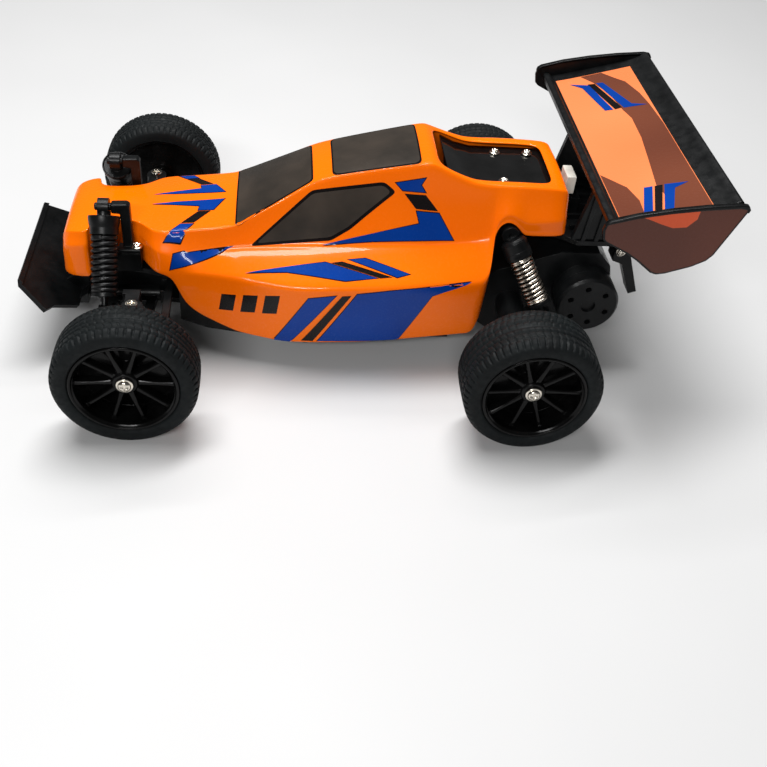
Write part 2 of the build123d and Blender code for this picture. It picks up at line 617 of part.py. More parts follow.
def pivot_lug(y0, y1):
    """A rounded ear from the case forwards to the pivot pin."""
    ear = rod((PIVOT_X, y0, PIVOT_Z), (PIVOT_X, y1, PIVOT_Z), 4.2)
    ear += block(-80.0, PIVOT_X, y0, y1, PIVOT_Z - 4.2, PIVOT_Z + 4.2)
    return ear - rod((PIVOT_X, y0 - 1, PIVOT_Z), (PIVOT_X, y1 + 1, PIVOT_Z), PIN_RADIUS + RUNNING)


def axle_tube(y0, y1):
    """A tube round the axle, with a wider seat for the bush at its outer end."""
    low, high = min(y0, y1), max(y0, y1)
    tube = disc_ring((REAR_X, AXLE_Z), low, high, 7.0, 4.0)
    seat = rod((REAR_X, y1 - math.copysign(6.0, y1), AXLE_Z), (REAR_X, y1 + math.copysign(1.0, y1), AXLE_Z), 5.0)
    return tube - seat


def shock_lug(side):
    """The arm on the axle tube that carries a rear shock's foot pin."""
    x, y, z = REAR_SHOCK_FOOT
    lug = side_plate([(REAR_X + 3, AXLE_Z - 5), (REAR_X + 3, AXLE_Z + 4), (x + 3, z + 2.4), (x - 3.0, z + 2.4),
                      (x - 3.0, z - 4)], y - 6.6, y - 3.4)
    lug -= rod((REAR_X, y - 10, AXLE_Z), (REAR_X, y, AXLE_Z), 5.5)
    lug += rod((x, y - 6.0, z), (x, y + 3.2, z), PIN_RADIUS)
    return lug if side > 0 else mirrored(lug)


def gearbox_case():
    """The right half of the gear case: a cup that holds the gears, with the right axle tube."""
    case = side_plate(CASE_OUTLINE, CASE_SIDES[0], CASE_SPLIT)
    case -= side_plate(inset_outline(CASE_OUTLINE, 3.0), CASE_SIDES[0] + 2.5, CASE_SPLIT + 1)
    for middle, teeth in ((IDLER, IDLER_BIG_TEETH), ((REAR_X, AXLE_Z), AXLE_TEETH)):
        room = MODULE * (teeth / 2 + 0.8) + GEAR_ROOM
        case -= disc_ring(middle, CASE_SIDES[0] + 2.5, CASE_SPLIT + 1, room, PIN_RADIUS)
    case += axle_tube(CASE_SIDES[0], -72.0) + shock_lug(-1)
    case -= rod((REAR_X, -20, AXLE_Z), (REAR_X, 10, AXLE_Z), 4.0)
    case += rod((IDLER[0], CASE_SIDES[0] + 1, IDLER[1]), (IDLER[0], CASE_SPLIT, IDLER[1]), PIN_RADIUS)
    return case + pivot_lug(-20.4, CASE_SIDES[0] + 0.5) + block(-82.0, -78.0, -20.4, -13.0, 24.0, 36.0)


def gearbox_cover():
    """The left half: closes the gears in, holds the motor and carries the left axle tube."""
    y1 = CASE_SIDES[1]
    cover = side_plate(CASE_OUTLINE, CASE_SPLIT, y1)
    cover -= block(COVER_FRONT_X, -60.0, CASE_SPLIT + 3, y1 + 1, 0, 80)
    front_pocket = [(-80.0, 25.0), (-84.0, 19.0), (-100.0, 19.0), (-110.0, 24.0), (-110.0, 56.0),
                    (-86.0, 48.0), (-80.0, 43.0)]
    cover -= side_plate(front_pocket, CASE_SPLIT + 3, y1 - 3)
    cover += rod((MOTOR_X, 20, MOTOR_Z), (MOTOR_X, 36.0, MOTOR_Z), DRUM_RADIUS)
    cover -= rod((MOTOR_X, 5.0, MOTOR_Z), (MOTOR_X, 40.0, MOTOR_Z), 12.6)
    cover -= rod((MOTOR_X, 0.0, MOTOR_Z), (MOTOR_X, 6.0, MOTOR_Z), 3.0)
    cover += axle_tube(y1, 72.0) + shock_lug(1)
    cover -= rod((REAR_X, 0, AXLE_Z), (REAR_X, 40, AXLE_Z), 4.0)
    return cover + pivot_lug(13.0, 20.4)


def motor():
    """The electric motor can with its shaft reaching into the pinion."""
    can = rod((MOTOR_X, 5.2, MOTOR_Z), (MOTOR_X, 37.0, MOTOR_Z), 12.4)
    can += rod((MOTOR_X, 1.0, MOTOR_Z), (MOTOR_X, 5.2, MOTOR_Z), 2.6)
    can += rod((MOTOR_X, 37.0, MOTOR_Z), (MOTOR_X, 38.6, MOTOR_Z), 4.0)
    return can + rod((MOTOR_X, -10.0, MOTOR_Z), (MOTOR_X, 2.0, MOTOR_Z), 1.0)


def motor_cap():
    """The round end cover over the motor, with a centre recess and six vent holes."""
    cap = rod((MOTOR_X, 36.0, MOTOR_Z), (MOTOR_X, 44.0, MOTOR_Z), DRUM_RADIUS)
    cap = chamfer(cap.edges().group_by(Axis.Y)[-1], 1.2)
    cap -= rod((MOTOR_X, 35.0, MOTOR_Z), (MOTOR_X, 41.0, MOTOR_Z), 13.2)
    cap -= rod((MOTOR_X, 42.5, MOTOR_Z), (MOTOR_X, 46.0, MOTOR_Z), 3.6)
    for number in range(6):
        angle = math.radians(60 * number + 20)
        x, z = MOTOR_X + 10.0 * math.cos(angle), MOTOR_Z + 10.0 * math.sin(angle)
        cap -= rod((x, 38, z), (x, 46, z), 1.5)
    return cap


def rear_bushes():
    """The two plain bearings that the axle turns in, at the ends of the axle tubes."""
    return both_sides(disc_ring((REAR_X, AXLE_Z), 66.0, 72.0, 5.0, REAR_AXLE_RADIUS + RUNNING))


# ---------------------------------------------------------------- rear frame and wing
TRAY_Z = (68.0, 70.6)
SCREW_X = -145.0


def rear_frame():
    """The fixed rear frame: posts, deck supports, ribbed tray under the wing and rear strips."""
    post = block(TUB_REAR_X - 10, TUB_REAR_X, 21.0, 25.0, 40.0, 66.0)
    post += side_plate([(TUB_REAR_X - 10, 64.0), (TUB_REAR_X, 64.0), (-58.0, 85.8), (-104.0, 85.8),
                        (-104.0, TRAY_Z[0]), (-78.0, TRAY_Z[0])], 19.0, 22.0)
    post += block(TUB_REAR_X - 10, TUB_REAR_X, 19.0, 25.0, 60.0, 66.0)
    x, y, z = REAR_SHOCK_TOP
    post += rod((x, 20.0, z), (x, y, z), 1.3) + Pos(x, y, z) * Sphere(2.4)
    post += rod((x, 21.0, z), (x, y - 3.6, z), 3.4)
    frame = both_sides(post)
    frame += block(-106.0, -102.5, -22.0, 22.0, TRAY_Z[0], 85.8)
    tray = [(-102.5, 22.0), (-113.0, 26.0), (-120.0, 31.0), (-142.0, 31.0)]
    frame += flat_plate(tray + [(x, -y) for x, y in reversed(tray)], *TRAY_Z)
    for number in range(5):
        rib_y = -20.0 + 10.0 * number
        frame += block(-140.0, -118.0, rib_y - 0.8, rib_y + 0.8, TRAY_Z[1], TRAY_Z[1] + 2.4)
    strip = side_plate([(-141.6, TRAY_Z[1]), (-141.6, 57.0), (-147.0, 55.0), (-154.5, 37.0), (-158.5, 38.5),
                        (-151.0, 58.5), (-147.0, TRAY_Z[1])], 18.0, 27.0)
    frame += both_sides(strip)
    frame += block(-125.0, -119.0, -7.0, 5.0, TRAY_Z[1], 79.0)
    return frame


def rear_deck():
    """The smooth plate under the shell's rear opening, turned up at the front."""
    deck = side_plate([(-108.0, 85.8), (-66.0, 85.8), (-53.0, 93.0), (-53.0, 94.8), (-66.8, 87.8), (-108.0, 87.8)],
                      -19.5, 19.5)
    return deck


def charge_socket():
    """The pale socket for the charging lead, on its post behind the shell."""
    socket = block(-125.0, -119.0, -9.0, 7.0, 79.0, 90.0)
    return socket - block(-123.5, -120.5, -7.0, 5.0, 84.0, 91.0)


def wing_struts():
    """Two ribbed side plates that hold the wing over the tray."""
    strut = side_plate([(-117.0, TRAY_Z[1]), (-141.0, TRAY_Z[1]), (-143.0, 107.6), (-124.0, 102.9)], 27.0, 30.0)
    for number in range(3):
        x = -121.5 - 6.5 * number
        strut += side_plate([(x, TRAY_Z[1]), (x - 2, TRAY_Z[1]), (x - 4.5, 100.0), (x - 2.5, 99.5)], 30.0, 31.0)
    return both_sides(strut)


WING_TOP = [(-116.5, 108.2), (-119.5, 108.4), (-122.0, 106.8), (-142.0, 112.2), (-161.0, 117.4),
            (-166.0, 119.2), (-170.0, 122.0), (-172.6, 121.6)]
WING_UNDER = [(-170.0, 117.4), (-161.0, 114.4), (-142.0, 108.8), (-122.0, 103.6), (-117.0, 104.0)]


def wing_blade():
    """The wing between its end plates, with a raised front border and a turned-up rear lip."""
    return side_plate(WING_TOP + WING_UNDER, -PLATE_Y, PLATE_Y)


PLATE_OUTLINE = [(-112.6, 107.5), (-114.5, 111.6), (-127.0, 115.2), (-141.0, 118.0), (-156.0, 120.2),
                 (-171.0, 121.6), (WING_TIP_X, 119.4), (-165.0, 94.6), (-158.0, 89.5), (-145.0, 85.0),
                 (-141.0, 84.4), (-138.0, 86.0), (-126.0, 95.0), (-114.0, 101.6)]


def wing_end_plate():
    """The left end plate, with a thicker rolled top edge."""
    plate = side_plate(PLATE_OUTLINE, PLATE_Y, PLATE_Y + PLATE_THICK)
    top = PLATE_OUTLINE[1:6]
    edge = top + [(x, z - 1.8) for x, z in reversed(top)]
    return plate + side_plate(edge, PLATE_Y, PLATE_Y + PLATE_THICK + 0.7)


# ---------------------------------------------------------------- small fasteners and pins
def suspension_pins():
    """The steel hinge pins of both front arms and of the rear drive."""
    y, z = ARM_PIVOT
    front = both_sides(rod((80.2, y, z), (114.0, y, z), PIN_RADIUS))
    return front + rod((PIVOT_X, -25.4, PIVOT_Z), (PIVOT_X, 25.4, PIVOT_Z), PIN_RADIUS)


def screw_head(point, direction):
    """A round cross-head screw standing on a point."""
    end = Vector(*point) + Vector(*direction) * 1.6
    head = rod(point, (end.X, end.Y, end.Z), 2.3)
    return head - cross_cut((end.X, end.Y, end.Z), direction, 3.0)


def case_screws():
    """Every visible screw that holds the fixed parts: posts, deck, tray strips and door."""
    screws = both_sides(screw_head((92.5, 23.8, 56.0), (0, 0, 1)))
    for x, y in ((-82.5, -14.5), (-82.5, 14.5), (-99.0, -14.5)):
        screws += screw_head((x, y, 87.8), (0, 0, 1))
    screws += both_sides(screw_head((-144.6, 27.0, 62.5), (0, 1, 0)))
    screws += screw_head((DOOR_X[1] - 8, 0, FLOOR_Z - 0.6), (0, 0, -1))
    return screws


def power_switch():
    """The small sliding switch button in the floor."""
    knob = block(-57.0, -53.0, -2.4, 2.4, FLOOR_Z - 1.2, FLOOR_Z + 3.2)
    return knob + block(-58.4, -51.6, -4.0, 4.0, FLOOR_Z + TUB_WALL + 0.2, FLOOR_Z + TUB_WALL + 1.8)


def build():
    save("body_shell", body_shell())
    save("chassis_tub", chassis_tub())
    save("battery_door", battery_door())
    save("battery_pack", battery_pack())
    save("circuit_board", circuit_board())
    save("steering_servo", steering_servo())
    save("servo_arm", servo_arm())
    save("tie_rod", tie_rod())
    save("front_bulkhead", front_bulkhead())
    save("front_bumper", bumper())
    save_pair("front_tower", front_tower())
    save_pair("front_arm", front_arm())
    save_pair("kingpin", kingpin())
    save_pair("knuckle", knuckle())
    front_bore = FRONT_AXLE_RADIUS + RUNNING
    save_pair("tyre_front", tyre(FRONT_X, FRONT_FACE_Y, FRONT_TYRE_WIDTH))
    save_pair("rim_front", rim(FRONT_X, FRONT_FACE_Y, FRONT_TYRE_WIDTH, front_bore))
    save_pair("wheel_screw_front", wheel_screw(FRONT_X, FRONT_FACE_Y))
    save_pair("tyre_rear", tyre(REAR_X, REAR_FACE_Y, REAR_TYRE_WIDTH))
    save_pair("rim_rear", rim(REAR_X, REAR_FACE_Y, REAR_TYRE_WIDTH, REAR_AXLE_RADIUS))
    save("wheel_screws_rear", both_sides(wheel_screw(REAR_X, REAR_FACE_Y)))
    save_pair("front_shock_body", shock_body(FRONT_SHOCK_TOP, FRONT_SHOCK_FOOT, 1.8 + RUNNING, False))
    save_pair("front_shock_rod", shock_rod(FRONT_SHOCK_TOP, FRONT_SHOCK_FOOT, "x"))
    save_pair("front_spring", shock_spring(FRONT_SHOCK_TOP, FRONT_SHOCK_FOOT, 1.0, 8))
    save_pair("rear_shock_body", shock_body(REAR_SHOCK_TOP, REAR_SHOCK_FOOT, 2.4 + RUNNING, True))
    save_pair("rear_shock_rod", shock_rod(REAR_SHOCK_TOP, REAR_SHOCK_FOOT, "y"))
    save_pair("rear_spring", shock_spring(REAR_SHOCK_TOP, REAR_SHOCK_FOOT, 0.75, 10))
    save("gearbox_case", gearbox_case())
    save("gearbox_cover", gearbox_cover())
    save("motor", motor())
    save("motor_cap", motor_cap())
    save("rear_bushes", rear_bushes())
    save("rear_axle", rear_axle())
    save("axle_gear", axle_gear())
    save("idler_gear", idler_gear())
    save("motor_pinion", motor_pinion())
    save("rear_frame", rear_frame())
    save("rear_deck", rear_deck())
    save("charge_socket", charge_socket())
    save("wing_struts", wing_struts())
    save("wing_blade", wing_blade())
    save_pair("wing_end_plate", wing_end_plate())
    save("suspension_pins", suspension_pins())
    save("case_screws", case_screws())
    save("power_switch", power_switch())


build()
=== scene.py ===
"""The looks of the remote control car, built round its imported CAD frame.

Sizes inside a piece are in millimetres from that middle, on the ground, and metres() turns them
into the frame's own units.
"""

import json
import math

import bmesh
import bpy
from mathutils import Matrix, Vector
from mathutils.bvhtree import BVHTree
from mathutils.geometry import delaunay_2d_cdt


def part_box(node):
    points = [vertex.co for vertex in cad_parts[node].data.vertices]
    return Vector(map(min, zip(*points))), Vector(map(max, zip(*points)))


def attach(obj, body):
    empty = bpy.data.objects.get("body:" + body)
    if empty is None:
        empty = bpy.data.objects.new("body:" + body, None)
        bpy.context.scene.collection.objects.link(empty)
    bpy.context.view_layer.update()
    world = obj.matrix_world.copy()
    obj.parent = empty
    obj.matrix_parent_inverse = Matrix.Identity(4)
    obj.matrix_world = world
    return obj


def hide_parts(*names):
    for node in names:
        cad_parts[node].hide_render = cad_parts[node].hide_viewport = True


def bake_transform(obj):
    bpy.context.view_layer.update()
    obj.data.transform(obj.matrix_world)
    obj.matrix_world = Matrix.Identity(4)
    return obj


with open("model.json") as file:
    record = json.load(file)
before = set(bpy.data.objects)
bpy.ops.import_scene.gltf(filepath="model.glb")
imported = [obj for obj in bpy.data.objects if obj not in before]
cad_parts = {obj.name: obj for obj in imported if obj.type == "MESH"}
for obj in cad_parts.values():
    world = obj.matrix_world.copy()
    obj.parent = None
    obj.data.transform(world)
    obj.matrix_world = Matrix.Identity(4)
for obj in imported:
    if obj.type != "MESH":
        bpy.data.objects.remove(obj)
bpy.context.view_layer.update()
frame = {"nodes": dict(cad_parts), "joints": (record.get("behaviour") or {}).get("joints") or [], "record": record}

MM = 0.001
JOINTS = {joint["name"]: joint for joint in frame["joints"]}
FRONT_AXLE = JOINTS["front_left_wheel_spin"]["pos_m"]
REAR_AXLE = JOINTS["rear_axle_spin"]["pos_m"]
MIDDLE_X = (FRONT_AXLE[0] + REAR_AXLE[0]) / 2
LEFT, RIGHT = 1, -1
SIDES = (("left", LEFT), ("right", RIGHT))


def metres(x, y, z):
    """A point in millimetres from the middle of the wheelbase, in the row frame in metres."""
    return Vector((MIDDLE_X + x * MM, y * MM, z * MM))


# ------------------------------------------------------------------------------ materials
class Look:
    """A node material with short ways to add noise, colour mixes and bump."""

    def __init__(self, name):
        self.material = bpy.data.materials.new(name)
        self.material.use_nodes = True
        self.tree = self.material.node_tree
        self.shader = self.tree.nodes["Principled BSDF"]
        self.place = self.tree.nodes.new("ShaderNodeTexCoord").outputs["Object"]

    def set(self, **values):
        for name, value in values.items():
            self.shader.inputs[name.replace("_", " ")].default_value = value
        return self

    def node(self, kind, **inputs):
        node = self.tree.nodes.new("ShaderNode" + kind)
        for name, value in inputs.items():
            socket = node.inputs[name.replace("_", " ")]
            if isinstance(value, bpy.types.NodeSocket):
                self.tree.links.new(value, socket)
            else:
                socket.default_value = value
        return node

    def link(self, source, target):
        self.tree.links.new(source, self.shader.inputs[target])

    def noise(self, scale, detail=3.0, roughness=0.55):
        node = self.node("TexNoise", Vector=self.place, Scale=scale, Detail=detail, Roughness=roughness)
        return node.outputs["Fac"]

    def ramp(self, factor, stops):
        """A colour ramp with (position, colour) stops."""
        node = self.node("ValToRGB", Fac=factor)
        elements = node.color_ramp.elements
        while len(elements) < len(stops):
            elements.new(0.5)
        for element, (position, colour) in zip(elements, stops):
            element.position = position
            element.color = (*colour, 1.0)
        return node.outputs["Color"]

    def spread(self, factor, low, high, start=0.35, end=0.65):
        """A number that runs from low to high as the factor runs from start to end."""
        node = self.node("MapRange", Value=factor, From_Min=start, From_Max=end, To_Min=low, To_Max=high)
        return node.outputs["Result"]

    def bump(self, height, distance, strength=1.0, normal=None):
        node = self.node("Bump", Height=height, Distance=distance, Strength=strength)
        if normal is not None:
            self.tree.links.new(normal, node.inputs["Normal"])
        return node.outputs["Normal"]

    def soft_edges(self, radius):
        """Rounded highlights along the sharp edges of a moulded piece."""
        node = self.tree.nodes.new("ShaderNodeBevel")
        node.samples = 4
        node.inputs["Radius"].default_value = radius
        return node.outputs["Normal"]


def painted_shell(name, base, deep, roughness=0.2):
    """Thin formed plastic painted from inside: glossy, with slow waves in the sheet."""
    look = Look(name).set(Coat_Weight=0.3, Coat_Roughness=0.03, Specular_IOR_Level=0.06)
    waves = look.noise(14.0, detail=1.0)
    look.link(look.ramp(waves, [(0.35, deep), (0.65, base)]), "Base Color")
    fine = look.noise(700.0, detail=2.0)
    look.link(look.spread(fine, roughness, roughness + 0.1), "Roughness")
    slow = look.noise(60.0, detail=1.0)
    look.link(look.bump(slow, 0.00035, 0.35), "Normal")
    return look.material


def moulded_plastic(name, colour, low, high, grain=1400.0, edge=0.0004, depth=0.00004, shine=0.25):
    """Injection moulded plastic with a fine grain, uneven gloss and soft edges."""
    look = Look(name).set(Specular_IOR_Level=shine)
    cloud = look.noise(90.0, detail=4.0)
    lighter = tuple(min(1.0, c * 1.7 + 0.004) for c in colour)
    look.link(look.ramp(cloud, [(0.3, colour), (0.8, lighter)]), "Base Color")
    look.link(look.spread(look.noise(220.0), low, high), "Roughness")
    edges = look.soft_edges(edge)
    look.link(look.bump(look.noise(grain, detail=2.0), depth, 0.6, edges), "Normal")
    return look.material


def metal(name, colour, low, high, scratch=900.0):
    """Plated or drawn steel with fine handling marks."""
    look = Look(name).set(Metallic=1.0)
    marks = look.noise(scratch, detail=4.0)
    darker = tuple(c * 0.72 for c in colour)
    look.link(look.ramp(marks, [(0.3, darker), (0.7, colour)]), "Base Color")
    look.link(look.spread(marks, low, high), "Roughness")
    look.link(look.bump(marks, 0.00002, 0.4, look.soft_edges(0.00015)), "Normal")
    return look.material


def tyre_rubber():
    """Dull black rubber, greyer where it has been handled, with a fine moulded grain."""
    look = Look("tyre_rubber_look").set(Specular_IOR_Level=0.16)
    dust = look.noise(45.0, detail=5.0, roughness=0.65)
    dusty, clean = (0.0060, 0.0085, 0.0092), (0.0015, 0.0022, 0.0025)
    look.link(look.ramp(dust, [(0.3, clean), (0.75, dusty)]), "Base Color")
    look.link(look.spread(look.noise(400.0), 0.52, 0.72), "Roughness")
    look.link(look.bump(look.noise(2200.0, detail=3.0), 0.00006, 0.7), "Normal")
    return look.material


def window_film():
    """Smoked window paint seen through the glossy sheet."""
    look = Look("window_look").set(Coat_Weight=0.5, Coat_Roughness=0.03, Specular_IOR_Level=0.15)
    smoke = look.noise(38.0, detail=3.0)
    look.link(look.ramp(smoke, [(0.3, (0.018, 0.015, 0.012)), (0.75, (0.050, 0.038, 0.029))]), "Base Color")
    look.link(look.spread(look.noise(1500.0), 0.28, 0.42), "Roughness")
    look.link(look.bump(look.noise(1800.0), 0.00002, 0.4), "Normal")
    return look.material


def decal_ink(name, colour, deep):
    """Printed film: flat colour with a slight unevenness under a clear top."""
    look = Look(name).set(Coat_Weight=0.25, Coat_Roughness=0.03, Specular_IOR_Level=0.05)
    look.link(look.ramp(look.noise(26.0), [(0.35, deep), (0.65, colour)]), "Base Color")
    look.link(look.spread(look.noise(900.0), 0.2, 0.3), "Roughness")
    look.link(look.bump(look.noise(60.0, detail=1.0), 0.0003, 0.25), "Normal")
    return look.material


def mirror_film(name, colour, deep):
    """Copper-tinted reflective film, with slow darker pools painted into its colour as reflections, as in polished
    foil.
    """
    look = Look(name).set(Coat_Weight=0.35, Coat_Roughness=0.04, Specular_IOR_Level=0.08)
    # Painted reflection: slow noise mixes darker pools into the film's colour.
    reflection_pools = look.noise(16.0, detail=1.5, roughness=0.4)
    look.link(look.ramp(reflection_pools, [(0.35, deep), (0.62, colour)]), "Base Color")
    look.link(look.spread(look.noise(600.0), 0.22, 0.3), "Roughness")
    look.link(look.bump(look.noise(30.0, detail=1.0), 0.0004, 0.2), "Normal")
    return look.material


LOOKS = {
    "shell": painted_shell("shell_orange_look", (0.97, 0.165, 0.0005), (0.92, 0.145, 0.0003)),
    "blue": decal_ink("decal_blue_look", (0.0006, 0.040, 0.270), (0.0006, 0.030, 0.220)),
    "black_ink": decal_ink("decal_black_look", (0.008, 0.006, 0.006), (0.004, 0.003, 0.003)),
    "window": window_film(),
    "black": moulded_plastic("black_plastic_look", (0.0016, 0.0019, 0.0021), 0.28, 0.42, shine=0.2),
    "gloss_black": moulded_plastic("gloss_black_look", (0.002, 0.002, 0.002), 0.06, 0.12,
                                   depth=0.00001, shine=0.4),
    "rim_black": moulded_plastic("rim_black_look", (0.001, 0.001, 0.001), 0.12, 0.22,
                                 depth=0.00001, shine=0.14),
    "tyre": tyre_rubber(),
    "chrome": metal("chrome_look", (0.86, 0.80, 0.70), 0.10, 0.24),
    "spring": metal("spring_look", (0.78, 0.70, 0.60), 0.16, 0.30),
    "steel": metal("steel_look", (0.56, 0.55, 0.53), 0.25, 0.40),
    "brass": metal("brass_look", (0.80, 0.58, 0.25), 0.22, 0.36),
    "black_spring": moulded_plastic("black_spring_look", (0.003, 0.003, 0.0032), 0.26, 0.38, depth=0.00001),
    "nylon": moulded_plastic("nylon_look", (0.72, 0.70, 0.64), 0.40, 0.55),
    "socket": moulded_plastic("socket_look", (0.62, 0.58, 0.52), 0.35, 0.5),
    "board": moulded_plastic("board_look", (0.01, 0.09, 0.03), 0.35, 0.5),
    "wrap": moulded_plastic("battery_wrap_look", (0.02, 0.10, 0.05), 0.2, 0.3, shine=0.5),
    # The wing film's colours are its copper tint with painted reflections: film is the tint as it reflects the lit
    # room, and the brown, dim and bright copies are darker and lighter painted reflections of the same film.
    "film": mirror_film("wing_film_look", (0.80, 0.215, 0.075), (0.76, 0.185, 0.060)),
    "film_reflection_brown": mirror_film("wing_film_reflection_brown_look", (0.150, 0.043, 0.022), (0.120, 0.034, 0.018)),
    "film_reflection_bright": mirror_film("wing_film_reflection_bright_look", (0.62, 0.095, 0.03), (0.56, 0.075, 0.022)),
    "film_reflection_dim": mirror_film("wing_film_reflection_dim_look", (0.105, 0.031, 0.019), (0.080, 0.024, 0.015)),
}

SLOT_LOOKS = {
    "shell_orange": "shell", "chassis_black": "black", "gloss_black": "gloss_black",
    "rim_black": "rim_black", "tyre_rubber": "tyre", "bright_steel": "chrome",
    "spring_steel": "steel", "black_spring": "black_spring", "board_green": "board",
    "battery_wrap": "wrap", "socket_white": "socket", "gear_nylon": "nylon",
    "wing_film": "film_reflection_dim", "brass": "brass",
}


def dress_cad_nodes():
    """Gives every CAD node the detailed look of its record slot."""
    slots = {part["node"]: part["material_slot"] for part in frame["record"]["subparts"]}
    for name, node in frame["nodes"].items():
        look = LOOKS[SLOT_LOOKS[slots[name]]]
        for entry in node.material_slots:
            entry.material = look


# ------------------------------------------------------------------------------ mesh helpers
def show(thing):
    bpy.context.scene.collection.objects.link(thing)


def opened(piece):
    """The piece's mesh, open for editing."""
    work = bmesh.new()
    work.from_mesh(piece.data)
    return work


def close(work, mesh):
    work.to_mesh(mesh)
    work.free()


def new_piece(name, vertices, faces, look, smooth=True):
    """A mesh object from points in metres."""
    mesh = bpy.data.meshes.new(name)
    mesh.from_pydata([tuple(v) for v in vertices], [], faces)
    mesh.validate()
    if smooth:
        mesh.shade_smooth()
    mesh.materials.append(LOOKS[look])
    piece = bpy.data.objects.new(name, mesh)
    show(piece)
    return piece


def apply_modifiers(piece):
    """Makes the modifiers' result the piece's own mesh."""
    bpy.context.view_layer.update()
    graph = bpy.context.evaluated_depsgraph_get()
    mesh = bpy.data.meshes.new_from_object(piece.evaluated_get(graph))
    piece.modifiers.clear()
    piece.data = mesh
    return piece


def fix_normals(piece):
    """Turns every face outwards."""
    work = opened(piece)
    bmesh.ops.recalc_face_normals(work, faces=work.faces)
    close(work, piece.data)
    return piece


def finish_piece(piece, body, replaced=(), bevel=0.0, segments=3, angle=30.0):
    """Rounds the edges, then fixes the piece to its body and hides the CAD nodes it replaces."""
    fix_normals(piece)
    if bevel:
        rounding = piece.modifiers.new("rounding", "BEVEL")
        rounding.width = bevel * MM
        rounding.segments = segments
        rounding.limit_method = "ANGLE"
        rounding.angle_limit = math.radians(angle)
        rounding.harden_normals = True
        apply_modifiers(piece)
    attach(piece, body)
    if replaced:
        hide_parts(*replaced)
    return piece


def join(name, pieces):
    """Several pieces made into one, under the first one's settings."""
    work = bmesh.new()
    for piece in pieces:
        work.from_mesh(piece.data)
    look = pieces[0].data.materials[0]
    smooth = any(polygon.use_smooth for polygon in pieces[0].data.polygons)
    for piece in pieces:
        bpy.data.objects.remove(piece)
    mesh = bpy.data.meshes.new(name)
    close(work, mesh)
    mesh.materials.append(look)
    if smooth:
        mesh.shade_smooth()
    joined = bpy.data.objects.new(name, mesh)
    show(joined)
    return joined


def slab(name, near, far, look):
    """A solid between two equal rings of points."""
    count = len(near)
    faces = [list(range(count)), list(range(2 * count - 1, count - 1, -1))]
    faces += [[k, (k + 1) % count, (k + 1) % count + count, k + count] for k in range(count)]
    return new_piece(name, near + far, faces, look)


def side_slab(name, outline, y0, y1, look):
    """An (x, z) outline in millimetres, made solid between y0 and y1."""
    near, far = ([metres(x, y, z) for x, z in outline] for y in (y0, y1))
    return slab(name, near, far, look)


def flat_slab(name, outline, z0, z1, look):
    """An (x, y) outline in millimetres, made solid between z0 and z1."""
    near, far = ([metres(x, y, z) for x, y in outline] for z in (z0, z1))
    return slab(name, near, far, look)


def axis_frame(origin, direction):
    """A matrix whose Z points along direction, from an origin in millimetres."""
    turn = Vector(direction).to_track_quat("Z", "X").to_matrix().to_4x4()
    return Matrix.Translation(metres(*origin)) @ turn @ Matrix.Diagonal((MM, MM, MM, 1))


def polar(radius, angle, height):
    return Vector((radius * math.cos(angle), radius * math.sin(angle), height))


def turned_faces(steps, count, last):
    """Faces between the copies of a profile of count points, turned in a full circle."""
    faces = []
    for step in range(steps):
        near, far = step * count, (step + 1) % steps * count
        for k in range(last):
            after = (k + 1) % count
            faces.append([near + k, far + k, far + after, near + after])
    return faces


def tube_faces(rows, ring):
    """Faces between the rows of a tube with ring points in each."""
    return [[r * ring + k, r * ring + (k + 1) % ring, (r + 1) * ring + (k + 1) % ring, (r + 1) * ring + k]
            for r in range(rows - 1) for k in range(ring)]


def lathe(name, profile, place, look, steps=64, closed=True):
    """A (radius, height) profile turned about the Z of a placing matrix."""
    count = len(profile)
    vertices = []
    for step in range(steps):
        angle = 2 * math.pi * step / steps
        for radius, height in profile:
            vertices.append(place @ polar(radius, angle, height))
    faces = turned_faces(steps, count, count if closed else count - 1)
    piece = new_piece(name, vertices, faces, look)
    work = opened(piece)
    bmesh.ops.remove_doubles(work, verts=work.verts, dist=1e-6)
    close(work, piece.data)
    return piece


def coil(name, top, direction, start, height, radius, wire, turns, look):
    """A coil spring with closed end turns, as a mesh."""
    place = axis_frame(top, direction)
    per_turn, ring = 40, 12
    flat_turns = 0.8
    total = turns + 2 * flat_turns
    path = []
    steps = int(total * per_turn)
    for step in range(steps + 1):
        turn = total * step / steps
        rise = min(max(turn - flat_turns, 0.0), turns) / turns
        angle = 2 * math.pi * turn
        reach = start + wire + (height - 2 * wire) * rise
        path.append(polar(radius, angle, reach))
    vertices = []
    for step, point in enumerate(path):
        ahead = path[min(step + 1, steps)] - path[max(step - 1, 0)]
        outward = Vector((point.x, point.y, 0)).normalized()
        upward = ahead.normalized().cross(outward)
        for part in range(ring):
            angle = 2 * math.pi * part / ring
            offset = outward * math.cos(angle) + upward * math.sin(angle)
            vertices.append(place @ (point + offset * wire))
    faces = tube_faces(steps + 1, ring)
    faces.append(list(range(ring)))
    faces.append(list(range(steps * ring + ring - 1, steps * ring - 1, -1)))
    return new_piece(name, vertices, faces, look)


# ------------------------------------------------------------------------------ body shell
OPENING_HALF = 19.0
